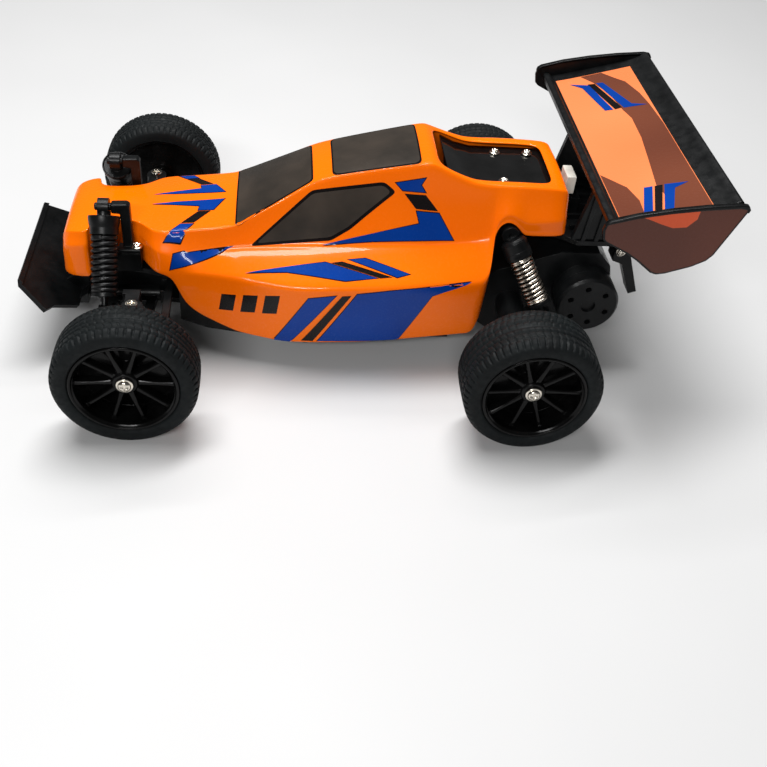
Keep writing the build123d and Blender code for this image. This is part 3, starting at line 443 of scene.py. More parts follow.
# Stations of the shell's left half, front to rear: x, middle height, then (y, z) of the top edge,
# the side's foot, the pod's crest, the pod's shoulder and the lower edge.
STATIONS = [
    (127.0, 40.6, (19.6, 40.4), (20.4, 40.3), (20.6, 40.2), (20.8, 40.1), (21.0, 40.0)),
    (128.2, 51.0, (18.6, 51.0), (20.6, 48.5), (21.0, 46.0), (21.2, 43.0), (21.4, 40.0)),
    (127.6, 60.8, (18.8, 60.0), (22.4, 55.0), (23.0, 50.0), (23.2, 45.0), (23.4, 40.0)),
    (124.4, 64.8, (23.0, 63.4), (26.3, 57.0), (26.8, 52.0), (26.9, 46.0), (26.8, 40.0)),
    (115.6, 66.0, (25.2, 64.7), (27.6, 58.0), (28.0, 52.0), (28.0, 46.0), (27.7, 40.0)),
    (114.4, 66.2, (23.6, 64.8), (25.8, 58.0), (26.2, 52.0), (26.3, 46.0), (26.4, 41.0)),
    (114.0, 66.3, (15.2, 65.4), (15.9, 60.0), (16.1, 56.0), (16.3, 51.0), (16.5, 46.0)),
    (97.0, 67.0, (15.6, 66.0), (16.5, 60.0), (16.8, 56.0), (17.0, 51.0), (17.2, 46.0)),
    (89.5, 67.7, (18.4, 66.2), (20.0, 60.0), (20.3, 56.0), (20.5, 51.0), (20.7, 46.2)),
    (84.2, 68.4, (25.9, 65.6), (31.4, 58.0), (32.4, 54.0), (33.0, 50.0), (33.2, 46.5)),
    (75.0, 69.4, (26.1, 66.6), (31.4, 57.0), (32.8, 53.0), (33.4, 50.0), (33.2, 46.0)),
    (71.6, 69.7, (26.1, 66.9), (30.6, 57.2), (33.2, 54.2), (35.0, 48.8), (33.2, 28.0)),
    (58.0, 70.9, (25.9, 68.4), (29.6, 59.0), (32.8, 57.2), (38.6, 51.2), (37.6, 22.4)),
    (46.8, 72.2, (25.7, 70.0), (29.0, 60.4), (32.8, 59.4), (42.4, 52.2), (40.9, 18.6)),
    (43.0, 74.0, (25.2, 71.9), (29.0, 60.9), (33.0, 60.0), (43.6, 52.4), (41.9, 17.8)),
    (24.0, 84.4, (21.4, 82.4), (29.0, 62.0), (33.4, 61.2), (48.8, 51.2), (45.4, 15.4)),
    (12.0, 91.2, (18.7, 89.4), (29.1, 62.5), (33.5, 61.6), (50.0, 51.6), (45.7, 15.3)),
    (7.0, 93.6, (18.2, 92.0), (29.1, 62.8), (33.5, 61.8), (50.1, 51.8), (45.7, 15.3)),
    (-2.0, 96.3, (18.2, 94.8), (29.2, 63.2), (33.5, 62.0), (50.2, 52.2), (45.6, 15.4)),
    (-24.0, 101.4, (19.2, 99.8), (29.6, 64.3), (33.5, 62.8), (50.2, 53.0), (45.1, 16.0)),
    (-42.0, 105.2, (20.3, 103.6), (30.0, 65.4), (33.3, 63.6), (49.0, 53.8), (42.9, 16.8)),
    (-46.5, 105.6, (20.6, 104.0), (30.1, 65.7), (33.3, 63.8), (48.6, 53.9), (42.4, 17.0)),
    (-50.0, 103.6, (20.9, 102.4), (30.1, 66.0), (33.2, 64.0), (48.3, 54.0), (42.0, 17.1)),
    (-64.0, 97.4, (22.8, 97.0), (30.4, 68.0), (32.9, 65.6), (47.2, 54.4), (40.3, 17.6)),
    (-69.0, 96.2, (23.5, 95.9), (30.5, 69.2), (32.7, 66.6), (46.7, 54.5), (39.7, 17.8)),
    (-77.2, 96.0, (24.0, 95.6), (30.5, 71.4), (32.2, 68.4), (46.0, 54.7), (38.8, 18.0)),
    (-78.0, 96.0, (24.1, 95.6), (30.4, 76.0), (30.8, 74.6), (31.0, 73.2), (31.2, 71.6)),
    (-80.6, 96.0, (24.1, 95.6), (30.0, 82.0), (30.2, 80.4), (30.3, 79.0), (30.4, 77.6)),
    (-84.5, 95.9, (24.2, 95.6), (29.8, 84.0), (30.0, 82.6), (30.1, 81.2), (30.2, 79.8)),
    (-89.0, 95.9, (24.2, 95.5), (29.9, 82.0), (30.1, 80.4), (30.2, 79.0), (30.3, 77.4)),
    (-92.4, 95.8, (24.3, 95.5), (30.0, 79.6), (30.2, 77.4), (30.3, 75.0), (30.4, 72.6)),
    (-95.0, 95.8, (24.3, 95.4), (30.0, 79.0), (30.2, 76.6), (30.3, 74.2), (30.4, 72.0)),
    (-105.3, 95.5, (24.3, 95.0), (29.9, 80.0), (30.1, 77.0), (30.2, 74.4), (30.3, 72.0)),
    (-110.8, 95.2, (24.0, 94.4), (29.2, 80.0), (29.5, 77.0), (29.7, 74.4), (29.8, 72.0)),
    (-113.4, 93.4, (22.8, 92.2), (27.0, 80.0), (27.4, 77.0), (27.7, 74.4), (27.9, 72.0)),
    (-114.0, 83.0, (22.6, 82.0), (25.4, 78.0), (25.9, 76.0), (26.3, 74.0), (26.6, 72.0)),
    (-113.8, 72.0, (22.6, 72.0), (24.8, 72.0), (25.2, 72.0), (25.6, 72.0), (26.0, 72.0)),
]
OPENING_STATIONS = (21, 32)
EDGE_COLUMN, SHOULDER_COLUMN, FOOT_COLUMN = 3, 7, 5
CREASES = {EDGE_COLUMN: 0.55, SHOULDER_COLUMN: 0.72, FOOT_COLUMN: 0.4}
PODDED = (11, 25)
SHEET = 1.3


def station_points(station):
    """The eleven points of a left half section, from the middle line to the lower edge."""
    x, middle, edge, foot, crest, shoulder, low = station
    crown = middle - edge[1]
    inner_y = min(OPENING_HALF, edge[0] - 2.2)
    side = (edge[0] + (foot[0] - edge[0]) * 0.42, edge[1] + (foot[1] - edge[1]) * 0.5)
    flank = (shoulder[0] * 0.5 + low[0] * 0.5 + 0.5, shoulder[1] * 0.5 + low[1] * 0.5)
    half = [(0.0, middle), (edge[0] * 0.42, edge[1] + crown * 0.82), (inner_y, edge[1] + crown * 0.35),
            edge, side, foot, crest, shoulder, flank, low]
    return [(x, y, z) for y, z in half]


def body_shell():
    """The formed sheet: a grid through the stations, opened over the deck, thickened and smoothed."""
    rows = []
    for station in STATIONS:
        left = station_points(station)
        rows.append([(x, -y, z) for x, y, z in reversed(left[1:])] + left)
    columns = len(rows[0])
    centre = columns // 2
    vertices = [metres(*point) for row in rows for point in row]
    faces = []
    for r in range(len(rows) - 1):
        for c in range(columns - 1):
            inside = OPENING_STATIONS[0] <= r < OPENING_STATIONS[1] and centre - 2 <= c < centre + 2
            if r >= OPENING_STATIONS[0] + 1 and inside:
                continue
            a = r * columns + c
            faces.append([a, a + 1, a + columns + 1, a + columns])
    shell = new_piece("shell_skin", vertices, faces, "shell")
    fix_normals(shell)
    crease = shell.data.attributes.new("crease_edge", "FLOAT", "EDGE")
    for edge in shell.data.edges:
        (row_a, col_a), (_, col_b) = (divmod(v, columns) for v in edge.vertices)
        side = abs(col_a - centre)
        if col_a == col_b and side in CREASES:
            if side == SHOULDER_COLUMN and not PODDED[0] <= row_a <= PODDED[1]:
                continue
            crease.data[edge.index].value = CREASES[side]
    thick = shell.modifiers.new("sheet", "SOLIDIFY")
    thick.thickness = SHEET * MM
    thick.offset = -1.0
    round_off = shell.modifiers.new("smooth", "SUBSURF")
    round_off.levels = 3
    round_off.render_levels = 3
    apply_modifiers(shell)
    shell.data.shade_smooth()
    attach(shell, "shell")
    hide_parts("body_shell")
    return shell


# ------------------------------------------------------------------------------ stickers
def sampled(outline, spacing):
    """The outline with extra points along its sides."""
    points = []
    for k, start in enumerate(outline):
        end = outline[(k + 1) % len(outline)]
        start, end = Vector(start), Vector(end)
        count = max(1, int((end - start).length / spacing))
        points += [start.lerp(end, step / count) for step in range(count)]
    return points


def inside(point, outline):
    """Whether a point lies in a closed outline."""
    odd = False
    for k in range(len(outline)):
        a, b = outline[k - 1], outline[k]
        if (a[1] > point[1]) != (b[1] > point[1]):
            cross = a[0] + (point[1] - a[1]) / (b[1] - a[1]) * (b[0] - a[0])
            if point[0] < cross:
                odd = not odd
    return odd


def swollen(outline, margin):
    """The outline moved outwards by a margin, or inwards if it is negative."""
    points = [Vector(p) for p in outline]
    area = sum(points[k - 1].x * points[k].y - points[k].x * points[k - 1].y for k in range(len(points)))
    turn = 1 if area > 0 else -1
    moved = []
    for k, point in enumerate(points):
        before = (point - points[k - 1]).normalized()
        after = (points[(k + 1) % len(points)] - point).normalized()
        a = Vector((before.y, -before.x)) * turn
        b = Vector((after.y, -after.x)) * turn
        middle = (a + b)
        if middle.length < 0.3:
            moved.append(point + a * margin)
            continue
        middle.normalize()
        moved.append(point + middle * min(margin / max(middle.dot(a), 0.35), abs(margin) * 2.2)
                     if margin > 0 else point + middle * margin / max(middle.dot(a), 0.6))
    return moved


def rounded(outline, radius, steps=4):
    """The outline with each corner replaced by a short curve."""
    points = [Vector(p) for p in outline]
    result = []
    for k, point in enumerate(points):
        before, after = points[k - 1] - point, points[(k + 1) % len(points)] - point
        cut = min(radius, before.length * 0.45, after.length * 0.45)
        start, end = point + before.normalized() * cut, point + after.normalized() * cut
        for step in range(steps + 1):
            t = step / steps
            result.append(start * (1 - t) ** 2 + point * 2 * t * (1 - t) + end * t ** 2)
    return result


def sticker(name, outline, view, surface, look, lift, body, spacing=1.6):
    """A printed shape laid on a surface. The outline is in millimetres, seen along the view:
    'left' and 'right' take (x, z), and 'top' takes (x, y)."""
    edge = sampled(outline, spacing)
    low = Vector((min(p.x for p in edge), min(p.y for p in edge)))
    high = Vector((max(p.x for p in edge), max(p.y for p in edge)))
    points = list(edge)
    grid_x = int((high.x - low.x) / spacing) + 1
    grid_y = int((high.y - low.y) / spacing) + 1
    shrunk = swollen(edge, -spacing * 0.45)
    for i in range(grid_x + 1):
        for j in range(grid_y + 1):
            point = Vector((low.x + i * spacing, low.y + j * spacing))
            if inside(point, shrunk):
                points.append(point)
    sides = [(k, (k + 1) % len(edge)) for k in range(len(edge))]
    flat, _, triangles, _, _, _ = delaunay_2d_cdt(points, sides, [], 1, 1e-5)
    ray_from = {"left": lambda p: metres(p.x, 120, p.y), "right": lambda p: metres(p.x, -120, p.y),
                "top": lambda p: metres(p.x, p.y, 200)}[view]
    ray = {"left": Vector((0, -1, 0)), "right": Vector((0, 1, 0)), "top": Vector((0, 0, -1))}[view]
    vertices, missed = [], set()
    for number, point in enumerate(flat):
        hit, normal, _, _ = surface.ray_cast(ray_from(point), ray)
        if hit is None:
            missed.add(number)
            hit, normal = ray_from(point), -ray
        if normal.dot(ray) > 0:
            normal = -normal
        vertices.append(hit + normal * lift * MM)
    faces = [t for t in triangles if not missed.intersection(t)]
    piece = new_piece(name, vertices, faces, look)
    work = opened(piece)
    bmesh.ops.delete(work, geom=[v for v in work.verts if not v.link_faces], context="VERTS")
    bmesh.ops.recalc_face_normals(work, faces=work.faces)
    total = Vector((0, 0, 0))
    for face in work.faces:
        total += face.normal
    if total.dot(ray) > 0:
        bmesh.ops.reverse_faces(work, faces=work.faces)
    close(work, piece.data)
    piece.data.shade_smooth()
    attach(piece, body)
    return piece


def surface_of(piece):
    """The piece's surface, ready to cast rays at."""
    work = opened(piece)
    tree = BVHTree.FromBMesh(work)
    work.free()
    return tree


WINDSHIELD = [(44.8, -25.0), (44.8, 25.0), (9.8, 16.7), (9.8, -16.7)]
ROOF_PANEL = [(-0.6, -16.9), (-0.6, 16.9), (-40.4, 18.9), (-40.4, -18.9)]
SIDE_WINDOW = [(35.5, 62.8), (9.0, 86.0), (-23.8, 92.2), (-27.6, 89.4), (-8.1, 72.0), (0.5, 66.8)]
# Side stripes as (x, z), seen from the left, and hood and pod stripes as (x, y), seen from above.
FLANK_STRIPES = {
    "flank_bar": ([(10.5, 46.2), (-2.5, 48.3), (18.9, 16.4), (27.0, 16.9)], "blue"),
    "flank_slash": ([(-5.4, 48.2), (-9.8, 48.6), (8.5, 16.0), (14.3, 16.2)], "black_ink"),
    "flank_panel": ([(-12.6, 49.6), (-30.0, 51.9), (-67.6, 55.2), (-48.9, 47.8), (-34.6, 16.8),
        (6.1, 16.0)], "blue"),
}
CABIN_STRIPES = {
    "cabin_flash": ([(-29.6, 93.8), (-43.3, 97.1), (-41.4, 93.7), (-43.7, 90.4), (-33.0, 90.5)], "blue"),
    "cabin_band": ([(-33.8, 89.1), (-44.0, 89.1), (-50.4, 81.8), (-39.8, 82.3)], "black_ink"),
    "cabin_sweep": ([(-40.2, 81.2), (-50.9, 80.8), (-58.8, 68.6), (-20.0, 66.0), (4.4, 63.3),
        (-42.0, 75.4)], "blue"),
    "hood_blade": ([(74.7, 57.2), (69.8, 58.2), (68.6, 57.6), (46.1, 61.0), (52.2, 59.0), (76.4, 49.8)],
        "blue"),
}
POD_STRIPES = {
    "pod_wedge": ([(40.6, 41.2), (2.7, 37.8), (-22.0, 45.2), (-6.7, 46.4), (20.8, 41.9)], "blue"),
    "pod_slash": ([(0.0, 38.1), (-5.3, 37.5), (-29.3, 44.8), (-23.4, 45.3)], "black_ink"),
    "pod_tail": ([(-8.3, 36.6), (-16.3, 36.1), (-37.5, 43.4), (-31.5, 44.8)], "blue"),
}
HOOD_STRIPES = {
    "hood_arrow": ([(51.4, 3.3), (56.4, 11.9), (63.7, 11.6), (63.1, 8.3), (77.1, 5.9), (86.5, 4.4),
        (76.2, 3.9)], "blue"),
    "hood_band": ([(63.6, 12.4), (57.6, 12.6), (65.2, 20.6), (71.4, 20.4)], "black_ink"),
    "hood_bar": ([(71.6, 21.1), (65.5, 21.4), (69.3, 26.4), (71.4, 28.3), (79.0, 28.2), (76.4, 26.2)],
        "blue"),
}
OUTLINE_MARGIN = 0.4
INK_LIFT, PRINT_LIFT = 0.08, 0.20
MARK_BARS = [((52.0 - 10.5 * k, 41.4 + 1.9 * k), (45.0 - 10.5 * k, 42.6 + 1.9 * k),
              (46.6 - 10.5 * k, 32.4 + 1.2 * k), (53.6 - 10.5 * k, 31.4 + 1.2 * k)) for k in range(3)]


def other_side(outline, view):
    """The same outline for the car's right: seen from above its y changes sign."""
    if view == "top":
        return [(x, -y) for x, y in outline]
    return outline


def shell_stickers(shell):
    """Windows and stripes, on both sides of the shell."""
    surface = surface_of(shell)

    def lay(name, outline, view, look, lift):
        points = [Vector(p) for p in outline]
        sticker(name, points, view, surface, look, lift, "shell")

    for name, outline, radius in (("windshield", WINDSHIELD, 2.2), ("roof_panel", ROOF_PANEL, 3.2)):
        lay(name + "_border", rounded(swollen(outline, 0.8), radius), "top", "black_ink", INK_LIFT)
        lay(name, rounded(outline, radius), "top", "window", PRINT_LIFT)
    for side in ("left", "right"):
        border = rounded(swollen(SIDE_WINDOW, 1.5), 2.0)
        lay("side_window_border_" + side, border, side, "black_ink", INK_LIFT)
        lay("side_window_" + side, rounded(SIDE_WINDOW, 2.0), side, "window", PRINT_LIFT)
        groups = ((FLANK_STRIPES, side), (CABIN_STRIPES, side), (POD_STRIPES, "top"), (HOOD_STRIPES, "top"))
        for group, seen in groups:
            for name, (outline, look) in group.items():
                shape = outline if side == "left" else other_side(outline, seen)
                if look == "blue":
                    lay(f"{name}_line_{side}", swollen(shape, OUTLINE_MARGIN), seen, "black_ink", INK_LIFT)
                lay(f"{name}_{side}", shape, seen, look, PRINT_LIFT)
        for number, bar in enumerate(MARK_BARS):
            lay(f"mark_bar_{number + 1}_{side}", bar, side, "black_ink", INK_LIFT)


# ------------------------------------------------------------------------------ wheels
TREAD_BLOCKS = 60
SPOKES = 10
HUB_SCREW_HEAD, HUB_SCREW_WASHER = 2.9, 3.9
TREAD_DEPTH = 1.4


def tyre_mesh(name, width, radius, rim_radius, steps_per_block=8):
    """A road tyre about the Z axis, outer face at z = 0, with its tread cut into the mesh."""
    half = width / 2
    shoulder = 2.6
    across = 44
    steps = TREAD_BLOCKS * steps_per_block
    profile = [(rim_radius - 0.2, -1.0), (rim_radius + 0.3, 0.0), (rim_radius + 1.3, 0.45),
               (rim_radius + 3.2, 0.45), (radius - 3.2, 0.2), (radius - 1.9, -0.35)]
    outer = len(profile)
    for k in range(across + 1):
        t = k / across
        z = -1.0 - (width - 2.0) * t
        edge = min(t, 1 - t) * (width - 2.0)
        fall = 1.1 * max(0.0, 1 - edge / shoulder) ** 2
        crown = 0.35 * (2 * t - 1) ** 2
        profile.append((radius - fall - crown, z))
    profile += [(radius - 1.9, -width + 0.35), (radius - 3.2, -width - 0.2),
                (rim_radius + 3.2, -width - 0.45), (rim_radius + 1.3, -width - 0.45),
                (rim_radius + 0.3, -width), (rim_radius - 0.2, -width + 1.0)]
    count = len(profile)
    vertices = []
    for step in range(steps):
        angle = 2 * math.pi * step / steps
        phase = (step % steps_per_block) / steps_per_block
        for k, (r, z) in enumerate(profile):
            if outer <= k < outer + across + 1:
                r -= TREAD_DEPTH * tread_depth((z + half) / half, phase)
            vertices.append(polar(r, angle, z) * MM)
    faces = turned_faces(steps, count, count)
    mesh = bpy.data.meshes.new(name)
    mesh.from_pydata(vertices, [], faces)
    mesh.validate()
    mesh.shade_smooth()
    mesh.materials.append(LOOKS["tyre"])
    return mesh


def tread_depth(across, phase):
    """How deep the tread is cut, from 0 to 1: across runs from -1 to 1 over the tyre's width and
    phase from 0 to 1 over one block."""
    side = abs(across)
    for groove, half in ((0.26, 0.035), (0.60, 0.03)):
        if abs(side - groove) < half:
            return 1.0
    if side > 0.64:
        return 0.6 if phase < 0.13 and side < 0.96 else 0.0
    slant = (phase + side * 1.3 + (0.5 if across > 0 else 0.0)) % 1.0
    if side > 0.29:
        return 0.6 if slant < 0.13 else 0.0
    if side < 0.05:
        return 0.5
    return 0.45 if (slant + 0.4) % 1.0 < 0.13 else 0.0


def rim_pieces(name, width, rim_radius, hub_z):
    """A dished ten-spoke rim about Z with its outer face at z = 0, as one mesh in millimetres."""
    place = Matrix.Diagonal((1, 1, 1, 1))
    parts = []
    lip = [(rim_radius - 0.2, -width + 1.0), (rim_radius - 0.2, -0.6), (rim_radius - 0.35, -0.1),
           (rim_radius - 0.9, 0.15), (rim_radius - 1.6, 0.0), (rim_radius - 1.9, -0.6),
           (rim_radius - 2.6, -1.2), (rim_radius - 2.8, -2.4), (rim_radius - 2.6, -width + 3.0),
           (rim_radius - 1.6, -width + 1.0)]
    parts.append(lathe(name + "_barrel", lip, place, "rim_black", 96))
    back = [(rim_radius - 1.9, hub_z - 12.0), (rim_radius - 1.9, hub_z - 10.8), (14.0, hub_z - 10.0),
            (5.0, hub_z - 9.0), (5.0, hub_z - 12.0)]
    parts.append(lathe(name + "_back", back, place, "rim_black", 64))
    hub = [(2.0, hub_z - 16.0), (6.4, hub_z - 16.0), (6.4, hub_z - 3.0), (5.9, hub_z - 1.2),
           (5.2, hub_z - 0.5), (4.2, hub_z - 0.5), (4.0, hub_z - 0.1), (0.0, hub_z - 0.1), (0.0, hub_z - 6)]
    parts.append(lathe(name + "_hub", hub, place, "rim_black", 48))
    for number in range(SPOKES):
        angle = 2 * math.pi * number / SPOKES
        parts.append(spoke(f"{name}_spoke_{number}", angle, rim_radius, hub_z))
    return join(name, parts)


def spoke(name, angle, rim_radius, hub_z):
    """One slim spoke with a raised ridge, from the hub out and up to the lip."""
    inner, outer = 5.2, rim_radius - 2.3
    rows = []
    for t in (0.0, 0.12, 0.5, 0.85, 1.0):
        reach = inner + (outer - inner) * t
        half = 1.5 - 0.55 * min(1.0, t * 3.0) + 0.45 * max(0.0, t - 0.8) * 5
        top = hub_z - 1.6 + 1.0 * t
        rows.append([(reach, -half, top - 4.2), (reach, -half, top - 0.5), (reach, -half * 0.55, top),
                     (reach, half * 0.55, top), (reach, half, top - 0.5), (reach, half, top - 4.2)])
    turn = Matrix.Rotation(angle, 4, "Z")
    vertices = [turn @ Vector(point) for row in rows for point in row]
    faces = tube_faces(len(rows), 6)
    faces += [list(range(5, -1, -1)), list(range(24, 30))]
    return new_piece(name, vertices, faces, "rim_black", smooth=False)


def cross_screw(name, place, head_radius, washer_radius, look="chrome"):
    """A cross-head screw on a washer, about the placing matrix's Z, from z = 0, as one mesh."""
    parts = []
    if washer_radius:
        inner = head_radius * 0.5
        rim = [(washer_radius, 0.0), (washer_radius, 0.45), (washer_radius - 0.3, 0.7)]
        washer = [(inner, 0.0), *rim, (inner, 0.7)]
        parts.append(lathe(name + "_washer", washer, place, look, 40))
    base = 0.7 if washer_radius else 0.0
    steps, rings = 48, 9
    vertices, faces = [place @ Vector((0, 0, base + cross_height(0, 0, head_radius)))], []
    for ring in range(1, rings + 1):
        radius = head_radius * ring / rings
        for step in range(steps):
            angle = 2 * math.pi * step / steps
            x, y = radius * math.cos(angle), radius * math.sin(angle)
            vertices.append(place @ Vector((x, y, base + cross_height(x, y, head_radius))))
    for step in range(steps):
        angle = 2 * math.pi * step / steps
        vertices.append(place @ polar(head_radius, angle, base))
    for step in range(steps):
        after = (step + 1) % steps
        faces.append([0, 1 + step, 1 + after])
        for ring in range(rings):
            a, b = 1 + ring * steps + step, 1 + ring * steps + after
            faces.append([a, a + steps, b + steps, b])
    faces.append([1 + rings * steps + step for step in reversed(range(steps))])
    parts.append(new_piece(name + "_head", vertices, faces, look))
    return join(name, parts)


def cross_height(x, y, radius):
    """The height of a domed screw head with a cross recess."""
    reach = math.hypot(x, y)
    dome = 0.5 * radius * math.sqrt(max(0.0, 1 - (reach / (radius * 1.02)) ** 2)) + 0.15
    in_cross = (abs(x) < 0.17 * radius or abs(y) < 0.17 * radius) and reach < 0.62 * radius
    return dome - (0.32 * radius if in_cross else 0.0)


def wheel_frame(low, high, side, face_y):
    """Places a wheel built about Z, outer face at z = 0, on its axle, outer face outwards."""
    centre = (low + high) / 2
    turn = Matrix.Rotation(math.radians(-90 * side), 4, "X")
    return Matrix.Translation((centre.x, face_y, centre.z)) @ turn


def wheels():
    """Tyres, rims and hub screws of the four wheels."""
    for end in ("front", "rear"):
        low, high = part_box(f"tyre_{end}_left")
        rim_low, rim_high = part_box(f"rim_{end}_left")
        radius = (high.z - low.z) / 2 / MM
        rim_radius = (rim_high.z - rim_low.z) / 2 / MM
        width = (rim_high.y - rim_low.y) / MM + 0.7
        screw_node = "wheel_screw_front_left" if end == "front" else "wheel_screws_rear"
        hub_z = (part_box(screw_node)[1].y - rim_high.y) / MM - 2.2 + 0.3
        tyre = tyre_mesh(f"tyre_{end}", width, radius, rim_radius)
        for side_name, side in SIDES:
            face_y = side * (rim_high.y - 0.3 * MM)
            node_low, node_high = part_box(f"tyre_{end}_{side_name}")
            place = wheel_frame(node_low, node_high, side, face_y)
            body = f"front_{side_name}_wheel" if end == "front" else "rear_axle"
            tread = bpy.data.objects.new(f"tread_{end}_{side_name}", tyre.copy())
            tread.data.transform(place)
            show(tread)
            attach(fix_normals(tread), body)
            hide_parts(f"tyre_{end}_{side_name}")
            scaled = place @ Matrix.Diagonal((MM, MM, MM, 1))
            rim = rim_pieces(f"wheel_{end}_{side_name}", width, rim_radius, hub_z)
            rim.data.transform(scaled)
            finish_piece(rim, body, [f"rim_{end}_{side_name}"], bevel=0.18, segments=2, angle=35)
            seat = scaled @ Matrix.Translation((0, 0, hub_z))
            screw = cross_screw(f"hub_screw_{end}_{side_name}", seat, HUB_SCREW_HEAD, HUB_SCREW_WASHER)
            replaced = [f"wheel_screw_front_{side_name}"] if end == "front" else ["wheel_screws_rear"]
            finish_piece(screw, body, replaced)


# ------------------------------------------------------------------------------ shock absorbers
FRONT_SHOCK = ((106.2, 21.5, 76.4), (106.2, 50.0, 36.0))
REAR_SHOCK = ((-86.0, 30.0, 73.5), (-106.5, 48.0, 36.0))
COLLAR = (5.0, 13.0)
SEAT_DROP = 9.5
SPRING_RADIUS = 5.1


def mirrored_points(points, side):
    """The points on the car's left, or their mirror images on its right."""
    return [Vector((x, y * side, z)) for x, y, z in points]


def shocks():
    """Springs and caps of the four shock absorbers."""
    for end, ends, wire, turns, look in (("front", FRONT_SHOCK, 1.2, 9, "black_spring"),
                                         ("rear", REAR_SHOCK, 0.78, 10, "spring")):
        for side_name, side in SIDES:
            top, foot = mirrored_points(ends, side)
            line = foot - top
            length, direction = line.length, line.normalized()
            body = f"{end}_shock_body_{side_name}"
            height = length - SEAT_DROP - COLLAR[1] - 0.1
            spring = coil(f"{end}_coil_{side_name}", top, direction, COLLAR[1] + 0.05, height,
                          SPRING_RADIUS, wire, turns, look)
            fix_normals(spring)
            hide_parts(f"{end}_spring_{side_name}")
            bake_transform(spring)
            collar_look(end, side_name, top, direction, body)


def collar_look(end, side_name, top, direction, body):
    """The stepped cap over the top of a spring."""
    start, stop = COLLAR
    place = axis_frame(top, direction)
    if end == "front":
        profile = [(3.3, start + 1.4), (6.2, start + 0.9), (6.7, start - 0.6), (7.3, start - 0.7),
                   (7.4, start + 0.4), (7.0, start + 3.6), (6.4, stop - 2.4), (6.3, stop - 0.4),
                   (5.9, stop), (3.5, stop)]
    else:
        profile = [(3.4, start - 2.0), (5.4, start - 1.6), (6.2, start - 0.4), (6.3, start + 4.0),
                   (6.7, start + 4.5), (6.7, stop - 1.2), (6.2, stop), (3.5, stop)]
    cap = lathe(f"{end}_cap_{side_name}", profile, place, "black", 56)
    finish_piece(cap, body, bevel=0.25, segments=2)


# ------------------------------------------------------------------------------ fixed parts
DECK_PROFILE = [(-107.6, 92.0), (-70.0, 92.4), (-62.0, 94.4), (-54.5, 98.0), (-54.5, 96.4),
                (-62.6, 92.8), (-70.2, 90.8), (-107.6, 90.4)]
DECK_HALF = 21.4
DECK_TOP = 92.3
DECK_SCREWS = [(-82.5, -14.5), (-82.5, 14.5), (-99.0, -14.5)]
DOOR_SCREW = (18.0, 0.0, 12.4)
POST_SCREW = (92.5, 23.8, 56.0)
TRAY_SCREW = (-144.6, 27.0, 62.5)
CASE_SCREW_HEAD, CASE_SCREW_WASHER = 2.1, 2.7
SOCKET_OUTLINE = [(-121.4, -7.6), (-116.6, -7.6), (-116.6, 4.4), (-121.4, 4.4)]
SOCKET_BASE, SOCKET_TOP = 81.0, 90.6
SEAT_OUTLINE = [(90.4, 20.2), (101.2, 20.2), (101.2, 27.0), (90.4, 27.0)]
SEAT_BASE, SEAT_TOP = 53.9, 56.0
POST_INNER, POST_OUTER = 19.2, 23.8
PIN_PROFILE = [(0.0, -4.0), (1.8, -4.0), (1.8, 4.4), (0.0, 4.4)]
TOWER_PROFILE = [(94.2, 55.0), (99.0, 55.0), (99.0, 73.6), (102.9, 73.9), (102.9, 78.6), (95.6, 79.0),
                 (94.2, 77.8)]


def fixed_parts():
    """The deck plate in the shell's opening, the shock towers, the charging socket and the screws."""
    deck = side_slab("deck_plate", DECK_PROFILE, -DECK_HALF, DECK_HALF, "gloss_black")
    finish_piece(deck, "chassis", ["rear_deck"], bevel=0.5)
    for side_name, side in SIDES:
        inner, outer = side * POST_INNER, side * POST_OUTER
        post = side_slab(f"tower_post_{side_name}", TOWER_PROFILE, inner, outer, "black")
        outline = [(x, y * side) for x, y in SEAT_OUTLINE]
        seat = flat_slab(f"tower_seat_{side_name}", outline, SEAT_BASE, SEAT_TOP, "black")
        x, y, z = FRONT_SHOCK[0]
        place = axis_frame((x, side * y, z), (1, 0, 0))
        pin = lathe(f"tower_pin_{side_name}", PIN_PROFILE, place, "black", 24)
        tower = join(f"tower_{side_name}", [fix_normals(post), fix_normals(seat), fix_normals(pin)])
        finish_piece(tower, "chassis", [f"front_tower_{side_name}"], bevel=0.7)
    socket = flat_slab("socket_block", SOCKET_OUTLINE, SOCKET_BASE, SOCKET_TOP, "socket")
    finish_piece(socket, "chassis", ["charge_socket"], bevel=0.5)
    places = [((x, y, DECK_TOP), (0, 0, 1)) for x, y in DECK_SCREWS]
    for side in (LEFT, RIGHT):
        for (x, y, z), direction in ((POST_SCREW, (0, 0, 1)), (TRAY_SCREW, (0, side, 0))):
            places.append(((x, side * y, z), direction))
    places.append((DOOR_SCREW, (0, 0, -1)))
    for number, (point, direction) in enumerate(places):
        screw = cross_screw(f"case_screw_{number}", axis_frame(point, direction),
                            CASE_SCREW_HEAD, CASE_SCREW_WASHER)
        finish_piece(screw, "chassis", ["case_screws"])


